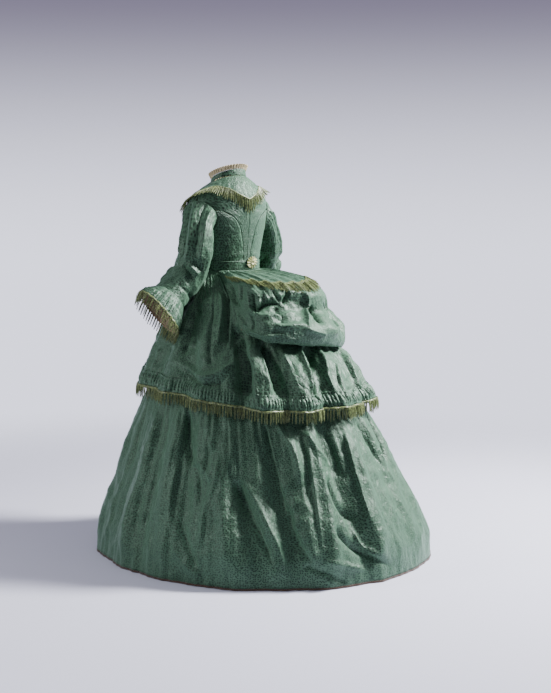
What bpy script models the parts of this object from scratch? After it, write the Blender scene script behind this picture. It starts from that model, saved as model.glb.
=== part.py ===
"""A woman's day gown of about 1868 to 1870, in the hollow form it keeps when worn.

Each panel, flounce, frill and fringe is its own closed cloth wall. Metres, +Z up, the
wearer faces -Y and the left side is +X. The origin is the middle of the waist, where the gown
is held, and the hem stands WAIST_HEIGHT below it. Angles run round the body from the
centre back: 90 degrees is the left side and 180 degrees the centre front.
"""

from collections import namedtuple

import bpy
import numpy as np

# Driving sizes
WAIST_HEIGHT = 1.02
NECK_HEIGHT = 0.325
CLOTH = 0.0015
SEAM_GAP = 0.0004
PANEL_GAP = 0.0005
LAYER_GAP = 0.0005
BELT_LOW = -0.015
BELT_HIGH = 0.019
SKIRT_TOP = BELT_LOW - LAYER_GAP
OVERSKIRT_HEM = -0.468
BRAID_HEIGHT = 0.007
FRINGE_LENGTH = 0.042
FRINGE_STRIP = 0.0012

# Columns, waves and strands round each piece
SKIRT_COLUMNS = 72
RUCHING_WAVES = 72
CUFF_WAVES = 20
SLEEVE_COLUMNS = 16
PEPLUM_STRANDS = 26
BERTHA_STRANDS = 34

# Forms, a ring for each height. Front and back are measured from the waist's axis, middle is
# where the ring is widest, and tilt is how far the ring dips at its front.
RING_COLUMNS = "height half_width front back middle squareness tilt"
Ring = namedtuple("Ring", RING_COLUMNS, defaults=(0.0, 2.0, 0.0))
TORSO = [
    Ring(-0.03, 0.1190, 0.095, 0.0990),
    Ring(0.0, 0.1180, 0.093, 0.0970),
    Ring(0.05, 0.1270, 0.104, 0.0990),
    Ring(0.10, 0.1390, 0.123, 0.1040),
    Ring(0.15, 0.1520, 0.139, 0.1090),
    Ring(0.19, 0.1600, 0.143, 0.1110),
    Ring(0.23, 0.1570, 0.130, 0.1090, tilt=0.004),
    Ring(0.26, 0.1420, 0.112, 0.1010, tilt=0.012),
    Ring(0.28, 0.1220, 0.096, 0.0900, tilt=0.020),
    Ring(0.30, 0.0970, 0.081, 0.0770, tilt=0.028),
    Ring(0.32, 0.0720, 0.066, 0.0620, tilt=0.036),
    Ring(0.34, 0.0580, 0.056, 0.0500, tilt=0.040),
]
UNDERSKIRT = [
    Ring(-0.015, 0.1187, 0.0945, 0.0985),
    Ring(-0.025, 0.1195, 0.0955, 0.0995),
    Ring(-0.08, 0.158, 0.130, 0.190, 0.022),
    Ring(-0.20, 0.232, 0.185, 0.320, 0.055),
    Ring(-0.35, 0.305, 0.245, 0.450, 0.085),
    Ring(-0.50, 0.381, 0.303, 0.552, 0.122),
    Ring(-0.60, 0.427, 0.340, 0.618, 0.140),
    Ring(-0.72, 0.475, 0.376, 0.686, 0.154),
    Ring(-0.85, 0.525, 0.416, 0.758, 0.168, 2.08),
    Ring(-0.94, 0.555, 0.437, 0.792, 0.180, 2.08),
    Ring(-1.03, 0.563, 0.447, 0.798, 0.186, 2.08),
]
OVERSKIRT = [
    Ring(-0.015, 0.1212, 0.0970, 0.1012),
    Ring(-0.025, 0.1225, 0.0985, 0.1030),
    Ring(-0.05, 0.150, 0.124, 0.165, 0.018),
    Ring(-0.10, 0.187, 0.155, 0.250, 0.040, 2.1),
    Ring(-0.15, 0.222, 0.184, 0.318, 0.055, 2.2),
    Ring(-0.20, 0.254, 0.210, 0.362, 0.065, 2.2),
    Ring(-0.25, 0.284, 0.238, 0.400, 0.078, 2.2),
    Ring(-0.28, 0.300, 0.253, 0.424, 0.084, 2.2),
    Ring(-0.325, 0.322, 0.274, 0.482, 0.092, 2.2),
    Ring(-0.40, 0.362, 0.305, 0.540, 0.103, 2.1),
    Ring(-0.48, 0.402, 0.330, 0.588, 0.120, 2.1),
]

# The bustle drape down the centre back: two rolls, the lower one tucked in beneath
PoufRow = namedtuple("PoufRow", "share height half_width back middle")
POUF = [
    PoufRow(1.00, -0.0155, 0.1232, 0.1034, 0.0),
    PoufRow(0.95, -0.0225, 0.1290, 0.1120, 0.003),
    PoufRow(0.88, -0.030, 0.168, 0.190, 0.018),
    PoufRow(0.79, -0.042, 0.206, 0.272, 0.032),
    PoufRow(0.70, -0.062, 0.236, 0.345, 0.044),
    PoufRow(0.60, -0.098, 0.256, 0.390, 0.055),
    PoufRow(0.51, -0.140, 0.266, 0.393, 0.060),
    PoufRow(0.42, -0.166, 0.286, 0.424, 0.065),
    PoufRow(0.29, -0.205, 0.304, 0.458, 0.072),
    PoufRow(0.16, -0.240, 0.308, 0.462, 0.078),
    PoufRow(0.07, -0.262, 0.302, 0.448, 0.080),
    PoufRow(0.00, -0.258, 0.294, 0.428, 0.082),
]
POUF_SQUARENESS = 2.4
POUF_EDGE_TOP = 58.0
POUF_EDGE_LOW = 46.0
POUF_EASE = 17.0
POUF_END_LIFT = 0.14
POUF_SLANT = 0.13
POUF_COLUMNS = 26

# Dents and swellings pressed into the bustle drape
Dent = namedtuple("Dent", "angle share half_angle half_share depth")
POUF_DENTS = [
    Dent(30, 0.70, 5, 0.12, -0.012),
    Dent(12, 0.58, 9, 0.05, -0.014),
    Dent(-28, 0.36, 7, 0.10, -0.024),
    Dent(-38, 0.30, 7, 0.12, 0.010),
    Dent(-4, 0.30, 16, 0.10, 0.010),
    Dent(28, 0.22, 6, 0.14, -0.010),
    Dent(-14, 0.80, 5, 0.10, -0.008),
]

# Largest folds: angles in degrees at the top and bottom, ridges are plus and troughs minus
Fold = namedtuple("Fold", "angle_top angle_low top low half_width_top half_width_low depth")
UNDERSKIRT_FOLDS = [
    Fold(-60, -60, -0.46, -1.20, 0.035, 0.050, 0.019),
    Fold(-45, -47, -0.46, -0.98, 0.030, 0.045, -0.014),
    Fold(-32, -35, -0.44, -1.20, 0.035, 0.055, 0.010),
    Fold(-15, -15, -0.46, -1.00, 0.032, 0.045, -0.010),
    Fold(-1, 5, -0.46, -1.20, 0.028, 0.045, 0.022),
    Fold(14, 10, -0.48, -1.05, 0.024, 0.040, -0.024),
    Fold(20, 23, -0.50, -1.20, 0.024, 0.040, 0.023),
    Fold(30, 30, -0.46, -1.00, 0.026, 0.036, 0.016),
    Fold(42, 35, -0.50, -1.10, 0.026, 0.042, -0.027),
    Fold(55, 41, -0.62, -1.20, 0.028, 0.045, -0.022),
    Fold(62, 55, -0.50, -1.20, 0.035, 0.050, 0.019),
    Fold(77, 75, -0.45, -0.85, 0.022, 0.036, -0.019),
    Fold(85, 83, -0.44, -1.20, 0.028, 0.045, 0.016),
    Fold(92, 92, -0.44, -1.05, 0.026, 0.038, -0.016),
    Fold(100, 100, -0.44, -1.20, 0.028, 0.045, 0.016),
    Fold(110, 110, -0.46, -1.10, 0.030, 0.045, -0.016),
    Fold(125, 125, -0.46, -1.20, 0.035, 0.050, 0.016),
    Fold(140, 140, -0.46, -1.10, 0.035, 0.050, -0.016),
    Fold(158, 158, -0.46, -1.20, 0.035, 0.055, 0.016),
    Fold(-75, -76, -0.46, -1.05, 0.030, 0.045, -0.020),
    Fold(-92, -93, -0.46, -1.20, 0.030, 0.050, 0.018),
    Fold(-108, -108, -0.46, -1.10, 0.030, 0.045, -0.016),
    Fold(-125, -125, -0.46, -1.20, 0.035, 0.050, 0.016),
    Fold(-142, -142, -0.46, -1.10, 0.035, 0.050, -0.016),
    Fold(-160, -160, -0.46, -1.20, 0.035, 0.055, 0.016),
]
OVERSKIRT_FOLDS = [
    Fold(60, 61, -0.04, -0.32, 0.020, 0.028, -0.016),
    Fold(52, 51, -0.12, -0.60, 0.022, 0.036, -0.027),
    Fold(40, 41, -0.20, -0.60, 0.024, 0.036, 0.022),
    Fold(30, 30, -0.24, -0.56, 0.020, 0.030, -0.020),
    Fold(18, 22, -0.24, -0.60, 0.028, 0.036, 0.019),
    Fold(2, 12, -0.25, -0.56, 0.020, 0.028, -0.023),
    Fold(-8, 3, -0.25, -0.60, 0.024, 0.032, 0.018),
    Fold(-22, -20, -0.24, -0.56, 0.024, 0.034, -0.019),
    Fold(-36, -35, -0.22, -0.60, 0.026, 0.036, 0.016),
    Fold(-50, -50, -0.10, -0.56, 0.022, 0.034, -0.018),
    Fold(-62, -62, -0.06, -0.60, 0.022, 0.036, 0.016),
    Fold(-76, -76, -0.04, -0.52, 0.022, 0.034, -0.016),
    Fold(72, 72, -0.04, -0.60, 0.022, 0.036, 0.014),
    Fold(82, 82, -0.04, -0.52, 0.020, 0.032, -0.015),
    Fold(92, 92, -0.04, -0.60, 0.022, 0.034, 0.014),
    Fold(103, 103, -0.04, -0.52, 0.022, 0.034, -0.014),
    Fold(118, 118, -0.04, -0.60, 0.024, 0.038, 0.012),
    Fold(135, 135, -0.04, -0.52, 0.024, 0.038, -0.012),
    Fold(152, 152, -0.04, -0.60, 0.024, 0.040, 0.012),
    Fold(-92, -92, -0.04, -0.60, 0.022, 0.036, 0.014),
    Fold(-108, -108, -0.04, -0.52, 0.022, 0.036, -0.014),
    Fold(-128, -128, -0.04, -0.60, 0.024, 0.040, 0.012),
    Fold(-150, -150, -0.04, -0.52, 0.024, 0.040, -0.012),
]

# Armhole, in the body's own angles and heights
ARMHOLE_HEIGHT = 0.175
ARMHOLE_HALF_HEIGHT = 0.062
ARMHOLE_BACK = 40.0
ARMHOLE_FRONT = 30.0

# Seams, as degrees from the centre back at each height
Seam = namedtuple("Seam", "height degrees")
SIDE_BACK_SEAM = [
    Seam(-0.02, 7),
    Seam(0.05, 8),
    Seam(0.10, 11),
    Seam(0.14, 15),
    Seam(0.17, 22),
    Seam(0.195, 38),
    Seam(0.215, 57),
]
SIDE_SEAM = [Seam(-0.02, 62), Seam(0.05, 68), Seam(0.09, 77), Seam(0.113, 90)]
PANEL_ROWS = [-0.015, 0.015, 0.045, 0.08, 0.1125, 0.121, 0.14, 0.17, 0.20, 0.222, 0.2368, 0.26, 0.285, 0.306]

# Sleeve: the arm's path from the armhole down, with the sleeve's half sizes across it
Station = namedtuple("Station", "share x y z outward fore")
SLEEVE_LEFT = [
    Station(1.00, 0.150, 0.004, 0.176, 0.050, 0.062),
    Station(0.86, 0.186, 0.030, 0.132, 0.050, 0.066),
    Station(0.72, 0.192, 0.043, 0.085, 0.050, 0.067),
    Station(0.56, 0.196, 0.038, 0.036, 0.054, 0.066),
    Station(0.42, 0.206, 0.026, -0.008, 0.058, 0.065),
    Station(0.28, 0.232, 0.016, -0.050, 0.058, 0.065),
    Station(0.14, 0.268, 0.010, -0.084, 0.058, 0.064),
    Station(0.00, 0.300, 0.008, -0.112, 0.062, 0.066),
]
SLEEVE_RIGHT = [
    Station(1.00, 0.150, 0.002, 0.176, 0.050, 0.062),
    Station(0.86, 0.184, 0.004, 0.132, 0.050, 0.066),
    Station(0.72, 0.190, -0.008, 0.085, 0.050, 0.067),
    Station(0.56, 0.194, -0.018, 0.036, 0.052, 0.066),
    Station(0.42, 0.200, -0.034, -0.002, 0.054, 0.065),
    Station(0.28, 0.208, -0.068, -0.036, 0.056, 0.065),
    Station(0.14, 0.216, -0.112, -0.064, 0.058, 0.064),
    Station(0.00, 0.223, -0.154, -0.088, 0.062, 0.066),
]
SLEEVE_HEAD_SHARE = 0.34
CUFF_LENGTH = 0.058
CUFF_TILT = 0.024
CUFF_TILT_ANGLE = -95.0
CUFF_FRINGE_SEAT = 0.0026
CUFF_FRINGE_ALONG_ARM = 0.8
CUFF_FRINGE_FALL = np.array([0.12, 0.0, -0.9])
CUFF_FLARE = 0.028
CUFF_WAVE = 0.0045
CUFF_SAG = 0.010

# Bertha: the height of its lower edge, in degrees from the centre back
Edge = namedtuple("Edge", "degrees height")
BERTHA_EDGE = [
    Edge(0, 0.236),
    Edge(14, 0.252),
    Edge(36, 0.276),
    Edge(60, 0.286),
    Edge(90, 0.272),
    Edge(112, 0.246),
    Edge(135, 0.205),
    Edge(155, 0.155),
    Edge(170, 0.112),
]
BERTHA_FRONT = 168.0
BERTHA_TOP = 0.318
BERTHA_LIFT = CLOTH + 0.0018

# How far the overskirt's hem rises from the back round to the front
HEM_RISE = [
    Edge(0, 0.0),
    Edge(25, -0.004),
    Edge(45, 0.004),
    Edge(60, 0.016),
    Edge(75, 0.028),
    Edge(90, 0.037),
    Edge(110, 0.042),
    Edge(180, 0.044),
]

# Where the skirt's folds start to flatten towards the hem, over what height and by how much
HEM_STEADY_TOP = -0.86
HEM_STEADY_SPAN = 0.15
HEM_STEADY = 0.55

# Overskirt hem band and peplum
RUCHING_TOP = -0.412
RUCHING_LOW = -0.4605
PEPLUM_REACH = 0.88
PEPLUM_TOP = 0.995
PEPLUM_PLEATS = 9
PEPLUM_LIFT = CLOTH + 0.0015
PEPLUM_PLEAT = 0.004

# Colours
SILK = (0.045, 0.125, 0.070, 1.0)
FRINGE_SILK = (0.140, 0.190, 0.045, 1.0)
BRAID_BROWN = (0.050, 0.028, 0.018, 1.0)
LACE = (0.600, 0.520, 0.360, 1.0)
RIBBON = (0.480, 0.500, 0.250, 1.0)


def smooth(table, column, at):
    """A table's column as a smooth curve over its first column, with no overshoot."""
    rows = sorted(table)
    xs = np.array([row[0] for row in rows], float)
    ys = np.array([getattr(row, column) for row in rows], float)
    steps = np.diff(ys) / np.diff(xs)
    before = steps[:-1]
    after = steps[1:]
    same_way = before * after > 0
    inner = np.where(same_way, 2 * before * after / np.where(same_way, before + after, 1), 0)
    slopes = np.concatenate([steps[:1], inner, steps[-1:]])
    at = np.clip(np.asarray(at, float), xs[0], xs[-1])
    low = np.clip(np.searchsorted(xs, at, side="right") - 1, 0, len(xs) - 2)
    span = xs[low + 1] - xs[low]
    t = (at - xs[low]) / span
    start = ys[low] * (2 * t**3 - 3 * t**2 + 1) + slopes[low] * span * (t**3 - 2 * t**2 + t)
    end = ys[low + 1] * (3 * t**2 - 2 * t**3) + slopes[low + 1] * span * (t**3 - t**2)
    return start + end


def ease(value):
    """0 below 0, 1 above 1, and smooth between."""
    share = np.clip(value, 0, 1)
    return share * share * (3 - 2 * share)


def stack(x, y, z):
    return np.stack(np.broadcast_arrays(x, y, z), axis=-1)


def unit(vectors):
    return vectors / np.linalg.norm(vectors, axis=-1, keepdims=True)


def normals(surface, angle, level):
    """Outward directions on a surface(angle, level) whose level falls from waist to hem."""
    turn = 1e-4
    step = 1e-4
    across = surface(angle + turn, level) - surface(angle - turn, level)
    down = surface(angle, level - step) - surface(angle, level + step)
    return unit(np.cross(across, down))


def ring_sizes(table, height):
    columns = ("half_width", "front", "back", "middle", "squareness", "tilt")
    return [smooth(table, column, height) for column in columns]


def ring_point(table, angle, height):
    """A form's plain surface. Height is taken at the back: a tilted ring dips to the front."""
    half_width, front, back, middle, squareness, tilt = ring_sizes(table, height)
    side = np.sin(np.radians(angle))
    rear = np.cos(np.radians(angle))
    depth = np.where(rear > 0, back - middle, front + middle)
    x = half_width * np.sign(side) * np.abs(side) ** (2 / squareness)
    y = middle + depth * np.sign(rear) * np.abs(rear) ** (2 / squareness)
    return stack(x, y, height - tilt * (1 - rear) / 2)


def torso(angle, height):
    """The bodice's outer surface."""
    return ring_point(TORSO, angle, height)


def kept_outside(points, form, table, gap):
    """The same points, moved out level wherever they are nearer than gap to a form."""
    height = points[..., 2]
    half_width, front, back, middle, squareness, _ = ring_sizes(table, height)
    away = points[..., 1] - middle
    side = points[..., 0] / half_width
    rear = away / np.where(away > 0, back - middle, front + middle)
    side = np.sign(side) * np.abs(side) ** (squareness / 2)
    rear = np.sign(rear) * np.abs(rear) ** (squareness / 2)
    base = form(np.degrees(np.arctan2(side, rear)), height)
    limit = np.hypot(base[..., 0], base[..., 1] - middle) + gap
    grown = np.maximum(limit / np.hypot(points[..., 0], away), 1)
    return stack(points[..., 0] * grown, middle + away * grown, height)


def fold_relief(folds, angle, height, x, y):
    """How far the folds stand out of, or sink into, a skirt's plain form."""
    reach = np.hypot(x, y)
    total = np.zeros(np.broadcast(angle, height).shape)
    for fold in folds:
        fallen = (fold.top - height) / (fold.top - fold.low)
        lean = ease(fallen)
        middle = fold.angle_top + (fold.angle_low - fold.angle_top) * lean
        half_width = fold.half_width_top + (fold.half_width_low - fold.half_width_top) * lean
        apart = (angle - middle + 180) % 360 - 180
        across = np.radians(apart) * reach / half_width
        length = ease(fallen / 0.25) * ease((1 - fallen) / 0.2)
        total += fold.depth * np.exp(-(across**2)) * length
    return total


def skirt_form(table, folds, angle, height, share=1.0):
    """A skirt's outer surface: an oval for each height, moved out or in by a share of its folds."""
    plain = ring_point(table, angle, height)
    axis = smooth(table, "middle", height)
    away = plain[..., 1] - axis
    relief = share * fold_relief(folds, angle, height, plain[..., 0], away)
    grown = 1 + relief / np.hypot(plain[..., 0], away)
    return stack(plain[..., 0] * grown, axis + away * grown, height)


def underskirt(angle, height):
    steadied = 1 - HEM_STEADY * ease((HEM_STEADY_TOP - height) / HEM_STEADY_SPAN)
    return skirt_form(UNDERSKIRT, UNDERSKIRT_FOLDS, angle, height, steadied)


def overskirt(angle, height):
    return skirt_form(OVERSKIRT, OVERSKIRT_FOLDS, angle, height)


def hem_rise(angle):
    return smooth(HEM_RISE, "height", np.abs((angle + 180) % 360 - 180))


def pouf_edge(share):
    return POUF_EDGE_LOW + (POUF_EDGE_TOP - POUF_EDGE_LOW) * share


def pouf(across, share):
    """The bustle drape. Across runs from -1 at its right edge to 1 at its left one, and share
    falls from 1 at the waist to 0 at the tucked lower edge."""
    angle = across * pouf_edge(share)
    inside = ease((pouf_edge(share) - np.abs(angle)) / POUF_EASE)
    slant = POUF_SLANT * np.clip(angle / POUF_EDGE_LOW, -1, 0.55)
    drop = 1 - POUF_END_LIFT * (1 - inside) - slant * ease((1 - share) / 0.5)
    level = SKIRT_TOP + (smooth(POUF, "height", share) - SKIRT_TOP) * drop
    turned = np.radians(angle)
    middle = smooth(POUF, "middle", share)
    relief = np.zeros(np.shape(angle))
    for dent in POUF_DENTS:
        spread = ((angle - dent.angle) / dent.half_angle) ** 2 + ((share - dent.share) / dent.half_share) ** 2
        relief = relief + dent.depth * np.exp(-spread)
    power = 2 / POUF_SQUARENESS
    x = (smooth(POUF, "half_width", share) + relief) * np.sign(angle) * np.abs(np.sin(turned)) ** power
    y = middle + (smooth(POUF, "back", share) - middle + relief) * np.abs(np.cos(turned)) ** power
    bottom = ease((1 - share) / 0.1)
    seat = CLOTH + 2 * LAYER_GAP + 0.004 * bottom
    laid = overskirt(angle, level) + seat[..., None] * normals(overskirt, angle, level)
    swell = (inside * ease((1 - share) / 0.08))[..., None]
    full = laid * (1 - swell) + stack(x, y, level) * swell
    return kept_outside(full, overskirt, OVERSKIRT, CLOTH + 2 * LAYER_GAP + 0.004 * bottom)


def grid(angles, levels):
    """Two arrays, a row for each level from the top down and a column for each angle."""
    return np.broadcast_arrays(np.asarray(angles, float)[None, :], np.asarray(levels, float)[:, None])


def add_object(name, points, faces, colour, roughness):
    material = bpy.data.materials.new(name)
    material.use_nodes = True
    shader = material.node_tree.nodes["Principled BSDF"]
    shader.inputs["Base Color"].default_value = colour
    shader.inputs["Roughness"].default_value = roughness
    shader.inputs["Metallic"].default_value = 0.0
    mesh = bpy.data.meshes.new(name)
    mesh.from_pydata(np.asarray(points).tolist(), [], faces)
    mesh.materials.append(material)
    mesh.shade_smooth()
    mesh.set_sharp_from_angle(angle=np.radians(50))
    made = bpy.data.objects.new(name, mesh)
    bpy.context.scene.collection.objects.link(made)
    return made


def mirrored(points, faces):
    """The same piece on the wearer's other side, its faces turned round to face outwards."""
    turned = [(face[0],) + tuple(reversed(face[1:])) for face in faces]
    return points * np.array([-1.0, 1.0, 1.0]), turned


def wall(name, outer, inner, colour=SILK, roughness=0.42, closed=False, mirror=False):
    """One closed cloth wall from two grids, rows from the top down and columns leftwards."""
    rows, columns = outer.shape[:2]
    last = columns if closed else columns - 1
    inside = rows * columns

    def at(row, column):
        return row * columns + column % columns

    faces = []
    for row in range(rows - 1):
        for column in range(last):
            a = at(row, column)
            b = at(row, column + 1)
            c = at(row + 1, column + 1)
            d = at(row + 1, column)
            faces.append((a, b, c, d))
            faces.append((inside + a, inside + d, inside + c, inside + b))
    for column in range(last):
        a = at(0, column)
        b = at(0, column + 1)
        faces.append((b, a, inside + a, inside + b))
        c = at(rows - 1, column)
        d = at(rows - 1, column + 1)
        faces.append((c, d, inside + d, inside + c))
    if not closed:
        for row in range(rows - 1):
            a = at(row, 0)
            b = at(row + 1, 0)
            faces.append((a, b, inside + b, inside + a))
            c = at(row, columns - 1)
            d = at(row + 1, columns - 1)
            faces.append((d, c, inside + c, inside + d))
    points = np.concatenate([outer.reshape(-1, 3), inner.reshape(-1, 3)])
    if mirror:
        points, faces = mirrored(points, faces)
    return add_object(name, points, faces, colour, roughness)


def cloth(name, surface, angles, levels, lift=0.0, thick=CLOTH, **finish):
    """A wall on a surface: its outer side lies lift above the surface, its inner side thick lower."""
    across, down = grid(angles, levels) if np.ndim(angles) == 1 else (angles, levels)
    base = surface(across, down)
    out = normals(surface, across, down)
    raised = np.broadcast_to(lift, across.shape)[..., None]
    return wall(name, base + out * raised, base + out * (raised - thick), **finish)


def full_turn(columns):
    return np.arange(columns) * 360 / columns


def faceted(surface, pitch, top, low):
    """The overskirt's hem as its wall is built: flat triangles between columns a pitch apart
    and two rows, which rise with the hem."""

    def flat(angle, level):
        left = np.floor(angle / pitch) * pitch
        right = left + pitch
        across = ((angle - left) / pitch)[..., None]
        down = ((top - level) / (top - low))[..., None]
        top_left = surface(left, top + hem_rise(left))
        top_right = surface(right, top + hem_rise(right))
        low_left = surface(left, low + hem_rise(left))
        low_right = surface(right, low + hem_rise(right))
        upper = top_left + (top_right - top_left) * across + (low_right - top_right) * down
        lower = top_left + (low_left - top_left) * down + (low_right - low_left) * across
        return np.where(across > down, upper, lower)

    return flat


def seat_lift(surface, across, down):
    """How far a grid's points must rise for its straight edges to clear the surface."""
    points = surface(across, down)
    out = normals(surface, across, down)
    lift = np.zeros(across.shape)

    def clear(first, second):
        middle = surface((across[first] + across[second]) / 2, (down[first] + down[second]) / 2)
        chord = (points[first] + points[second]) / 2
        short = np.maximum(((middle - chord) * (out[first] + out[second]) / 2).sum(-1), 0)
        lift[first] = np.maximum(lift[first], short)
        lift[second] = np.maximum(lift[second], short)

    early = slice(None, -1)
    late = slice(1, None)
    everything = slice(None)
    clear((early, everything), (late, everything))
    clear((everything, early), (everything, late))
    clear((early, early), (late, late))
    return lift


def fringe(name, strip_top, strip_low, out, tips, closed, mirror=False):
    """A narrow strip with a tapering lock under every other stretch of its lower edge.

    strip_top has a point for each lock and, on an open strip, one more. strip_low and out
    have two for each lock, and tips has one for each lock.
    """
    locks = len(tips)
    tops = len(strip_top)
    lows = len(strip_low)
    tip_half_width = 0.0012
    top_out = out[::2] if closed else np.concatenate([out[::2], out[-1:]])
    along = unit(strip_low[1::2] - strip_low[::2])
    groups = [
        strip_top,
        strip_low,
        strip_top - top_out * FRINGE_STRIP,
        strip_low - out * FRINGE_STRIP,
        tips - along * tip_half_width,
        tips + along * tip_half_width,
    ]
    starts = np.cumsum([0] + [len(group) for group in groups])
    top, low, top_in, low_in, tip_a, tip_b = (int(start) for start in starts[:-1])
    faces = []
    for lock in range(locks):
        left = lock
        right = (lock + 1) % tops
        a = 2 * lock
        b = a + 1
        faces.append((low + a, low + b, top + left))
        faces.append((low_in + b, low_in + a, top_in + left))
        faces.append((low + a, tip_a + lock, tip_b + lock, low + b))
        faces.append((low_in + b, tip_b + lock, tip_a + lock, low_in + a))
        faces.append((low + a, low_in + a, tip_a + lock))
        faces.append((low_in + b, low + b, tip_b + lock))
        if closed or lock < locks - 1:
            c = (b + 1) % lows
            faces.append((top + left, low + b, low + c, top + right))
            faces.append((top_in + right, low_in + c, low_in + b, top_in + left))
            faces.append((low + b, low_in + b, low_in + c, low + c))
        else:
            faces.append((top + left, low + b, top + right))
            faces.append((top_in + right, low_in + b, top_in + left))
            faces.append((top + right, low + b, low_in + b, top_in + right))
        faces.append((top + right, top_in + right, top_in + left, top + left))
    if not closed:
        faces.append((low, top, top_in, low_in))
    faces = [tuple(reversed(face)) for face in faces]
    points = np.concatenate(groups)
    if mirror:
        points, faces = mirrored(points, faces)
    return add_object(name, points, faces, FRINGE_SILK, 0.6)


def armhole_edge(height, half_angle, sign):
    """Degrees at the armhole's back or front edge, and the shoulder ridge above it."""
    rise = (height - ARMHOLE_HEIGHT) / ARMHOLE_HALF_HEIGHT
    return 90 + sign * half_angle * np.sqrt(np.clip(1 - rise**2, 0, 1))


def seam_inset(edge, heights):
    """Degrees to leave on one side of a seam, square to the seam's own run."""
    step = 1e-3
    turned = np.radians(edge(heights))
    width = smooth(TORSO, "half_width", heights) * np.cos(turned)
    depth = smooth(TORSO, "back", heights) * np.sin(turned)
    reach = np.hypot(width, depth)
    lean = np.radians(edge(heights + step) - edge(heights - step)) / (2 * step) * reach
    return np.degrees(PANEL_GAP / 2 * np.hypot(1, np.clip(lean, -3, 3)) / reach)


def panel(name, rows, first_edge, last_edge, columns, side):
    """A bodice panel between two seams, on the left, or mirrored for the right."""
    heights = np.array(rows[::-1])
    first = first_edge(heights) + seam_inset(first_edge, heights)
    last = last_edge(heights) - seam_inset(last_edge, heights)
    share = np.linspace(0, 1, columns + 1)[None, :]
    angle = first[:, None] * (1 - share) + last[:, None] * share
    height = np.broadcast_to(heights[:, None], angle.shape)
    cloth(f"{name}_{side}", torso, angle, height, mirror=side == "right")


def build_bodice():
    seam_meets = 0.20

    def centre_back(height):
        return np.zeros_like(height)

    def side_back(height):
        return smooth(SIDE_BACK_SEAM, "degrees", height)

    def back_edge(height):
        rim = armhole_edge(height, ARMHOLE_BACK, -1)
        return np.where(height < seam_meets + 0.002, side_back(height), rim)

    def under_edge(height):
        rim = armhole_edge(height, ARMHOLE_BACK, -1)
        return np.where(height < SIDE_SEAM[-1].height, smooth(SIDE_SEAM, "degrees", height), rim)

    def front_edge(height):
        rim = armhole_edge(height, ARMHOLE_FRONT, 1)
        return np.where(height < SIDE_SEAM[-1].height, smooth(SIDE_SEAM, "degrees", height), rim)

    def centre_front(height):
        return np.full_like(height, 180.0)

    rows = PANEL_ROWS + [NECK_HEIGHT]
    low_rows = [height for height in PANEL_ROWS if height <= seam_meets]
    for side in ("left", "right"):
        panel("bodice_back", rows, centre_back, back_edge, 4, side)
        panel("bodice_side_back", low_rows, side_back, under_edge, 3, side)
        panel("bodice_front", rows, front_edge, centre_front, 7, side)


def build_neck():
    def band(angle, share):
        base = torso(angle, np.full_like(angle, NECK_HEIGHT))
        flare = unit(base * np.array([1.0, 1.0, 0.0]))
        rise = 0.0225 * (1 - 0.35 * (1 - np.cos(np.radians(angle))) / 2)
        standing = base + flare * (-0.003 * share[..., None])
        return standing + stack(0, 0, LAYER_GAP + 0.0004 + rise * share)

    cloth("collar", band, full_turn(24), [1.0, 0.5, 0.0], lift=0.0004, closed=True)

    def frill(angle, share):
        crimp = 0.0035 * np.cos(np.radians(angle * 16)) * (0.35 + 0.65 * share)
        top = band(angle, np.ones_like(angle))
        flare = unit(top * np.array([1.0, 1.0, 0.0]))
        spread = 0.0015 + 0.0065 * share + crimp
        return top + flare * spread[..., None] + stack(0, 0, LAYER_GAP + 0.017 * share)

    across, down = grid(full_turn(32), [1.0, 0.0])
    base = frill(across, down)
    out = unit(base * np.array([1.0, 1.0, 0.0]))
    wall("neck_frill", base, base - out * 0.001, LACE, 0.7, closed=True)


def bertha_edge(angle):
    """Height of the fringed collar's lower edge: a V at the back and a longer one in front."""
    return smooth(BERTHA_EDGE, "height", np.abs(angle))


def bertha_point(angle, share):
    low = bertha_edge(angle)
    return torso(angle, low + (BERTHA_TOP - low) * share)


def build_bertha():
    angles = np.linspace(-BERTHA_FRONT, BERTHA_FRONT, BERTHA_STRANDS + 1)
    across, down = grid(angles, [1.0, 0.75, 0.5, 0.25, 0.0])
    seat = seat_lift(bertha_point, across, down)
    cloth("bertha", bertha_point, across, down, lift=BERTHA_LIFT + seat)
    pitch = angles[1] - angles[0]
    lows = np.stack([angles[:-1] + 0.12 * pitch, angles[:-1] + 0.88 * pitch], axis=1).ravel()
    middles = (angles[:-1] + angles[1:]) / 2
    rise = BERTHA_LIFT + FRINGE_STRIP + 0.0016
    out = normals(bertha_point, lows, np.zeros_like(lows))
    top_out = normals(bertha_point, angles, np.full_like(angles, 0.12))
    top_rise = (seat[-1] + rise)[:, None]
    low_rise = (np.interp(lows, angles, seat[-1]) + rise)[:, None]
    strip_top = bertha_point(angles, np.full_like(angles, 0.12)) + top_out * top_rise
    strip_low = bertha_point(lows, np.zeros_like(lows)) + out * low_rise
    over_arm = ease((ARMHOLE_BACK + 12 - np.abs(np.abs(middles) - 90)) / 22)
    tip_height = bertha_edge(middles) - FRINGE_LENGTH * (0.85 - 0.1 * over_arm)
    tip_out = normals(torso, middles, tip_height)
    tips = torso(middles, tip_height) + tip_out * (0.006 + 0.016 * over_arm)[:, None]
    fringe("bertha_fringe", strip_top, strip_low, out, tips, closed=False)


def sleeve_path(stations, share):
    return stack(
        smooth(stations, "x", share),
        smooth(stations, "y", share),
        smooth(stations, "z", share),
    )


def sleeve_frame(stations, share):
    """The sleeve's middle, its outward and forward directions, and its direction down the arm."""
    step = 0.02
    down = unit(sleeve_path(stations, share - step) - sleeve_path(stations, share + step))
    outward = unit(np.cross(down, np.array([0.0, 1.0, 0.0])))
    return sleeve_path(stations, share), outward, np.cross(down, outward), down


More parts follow.
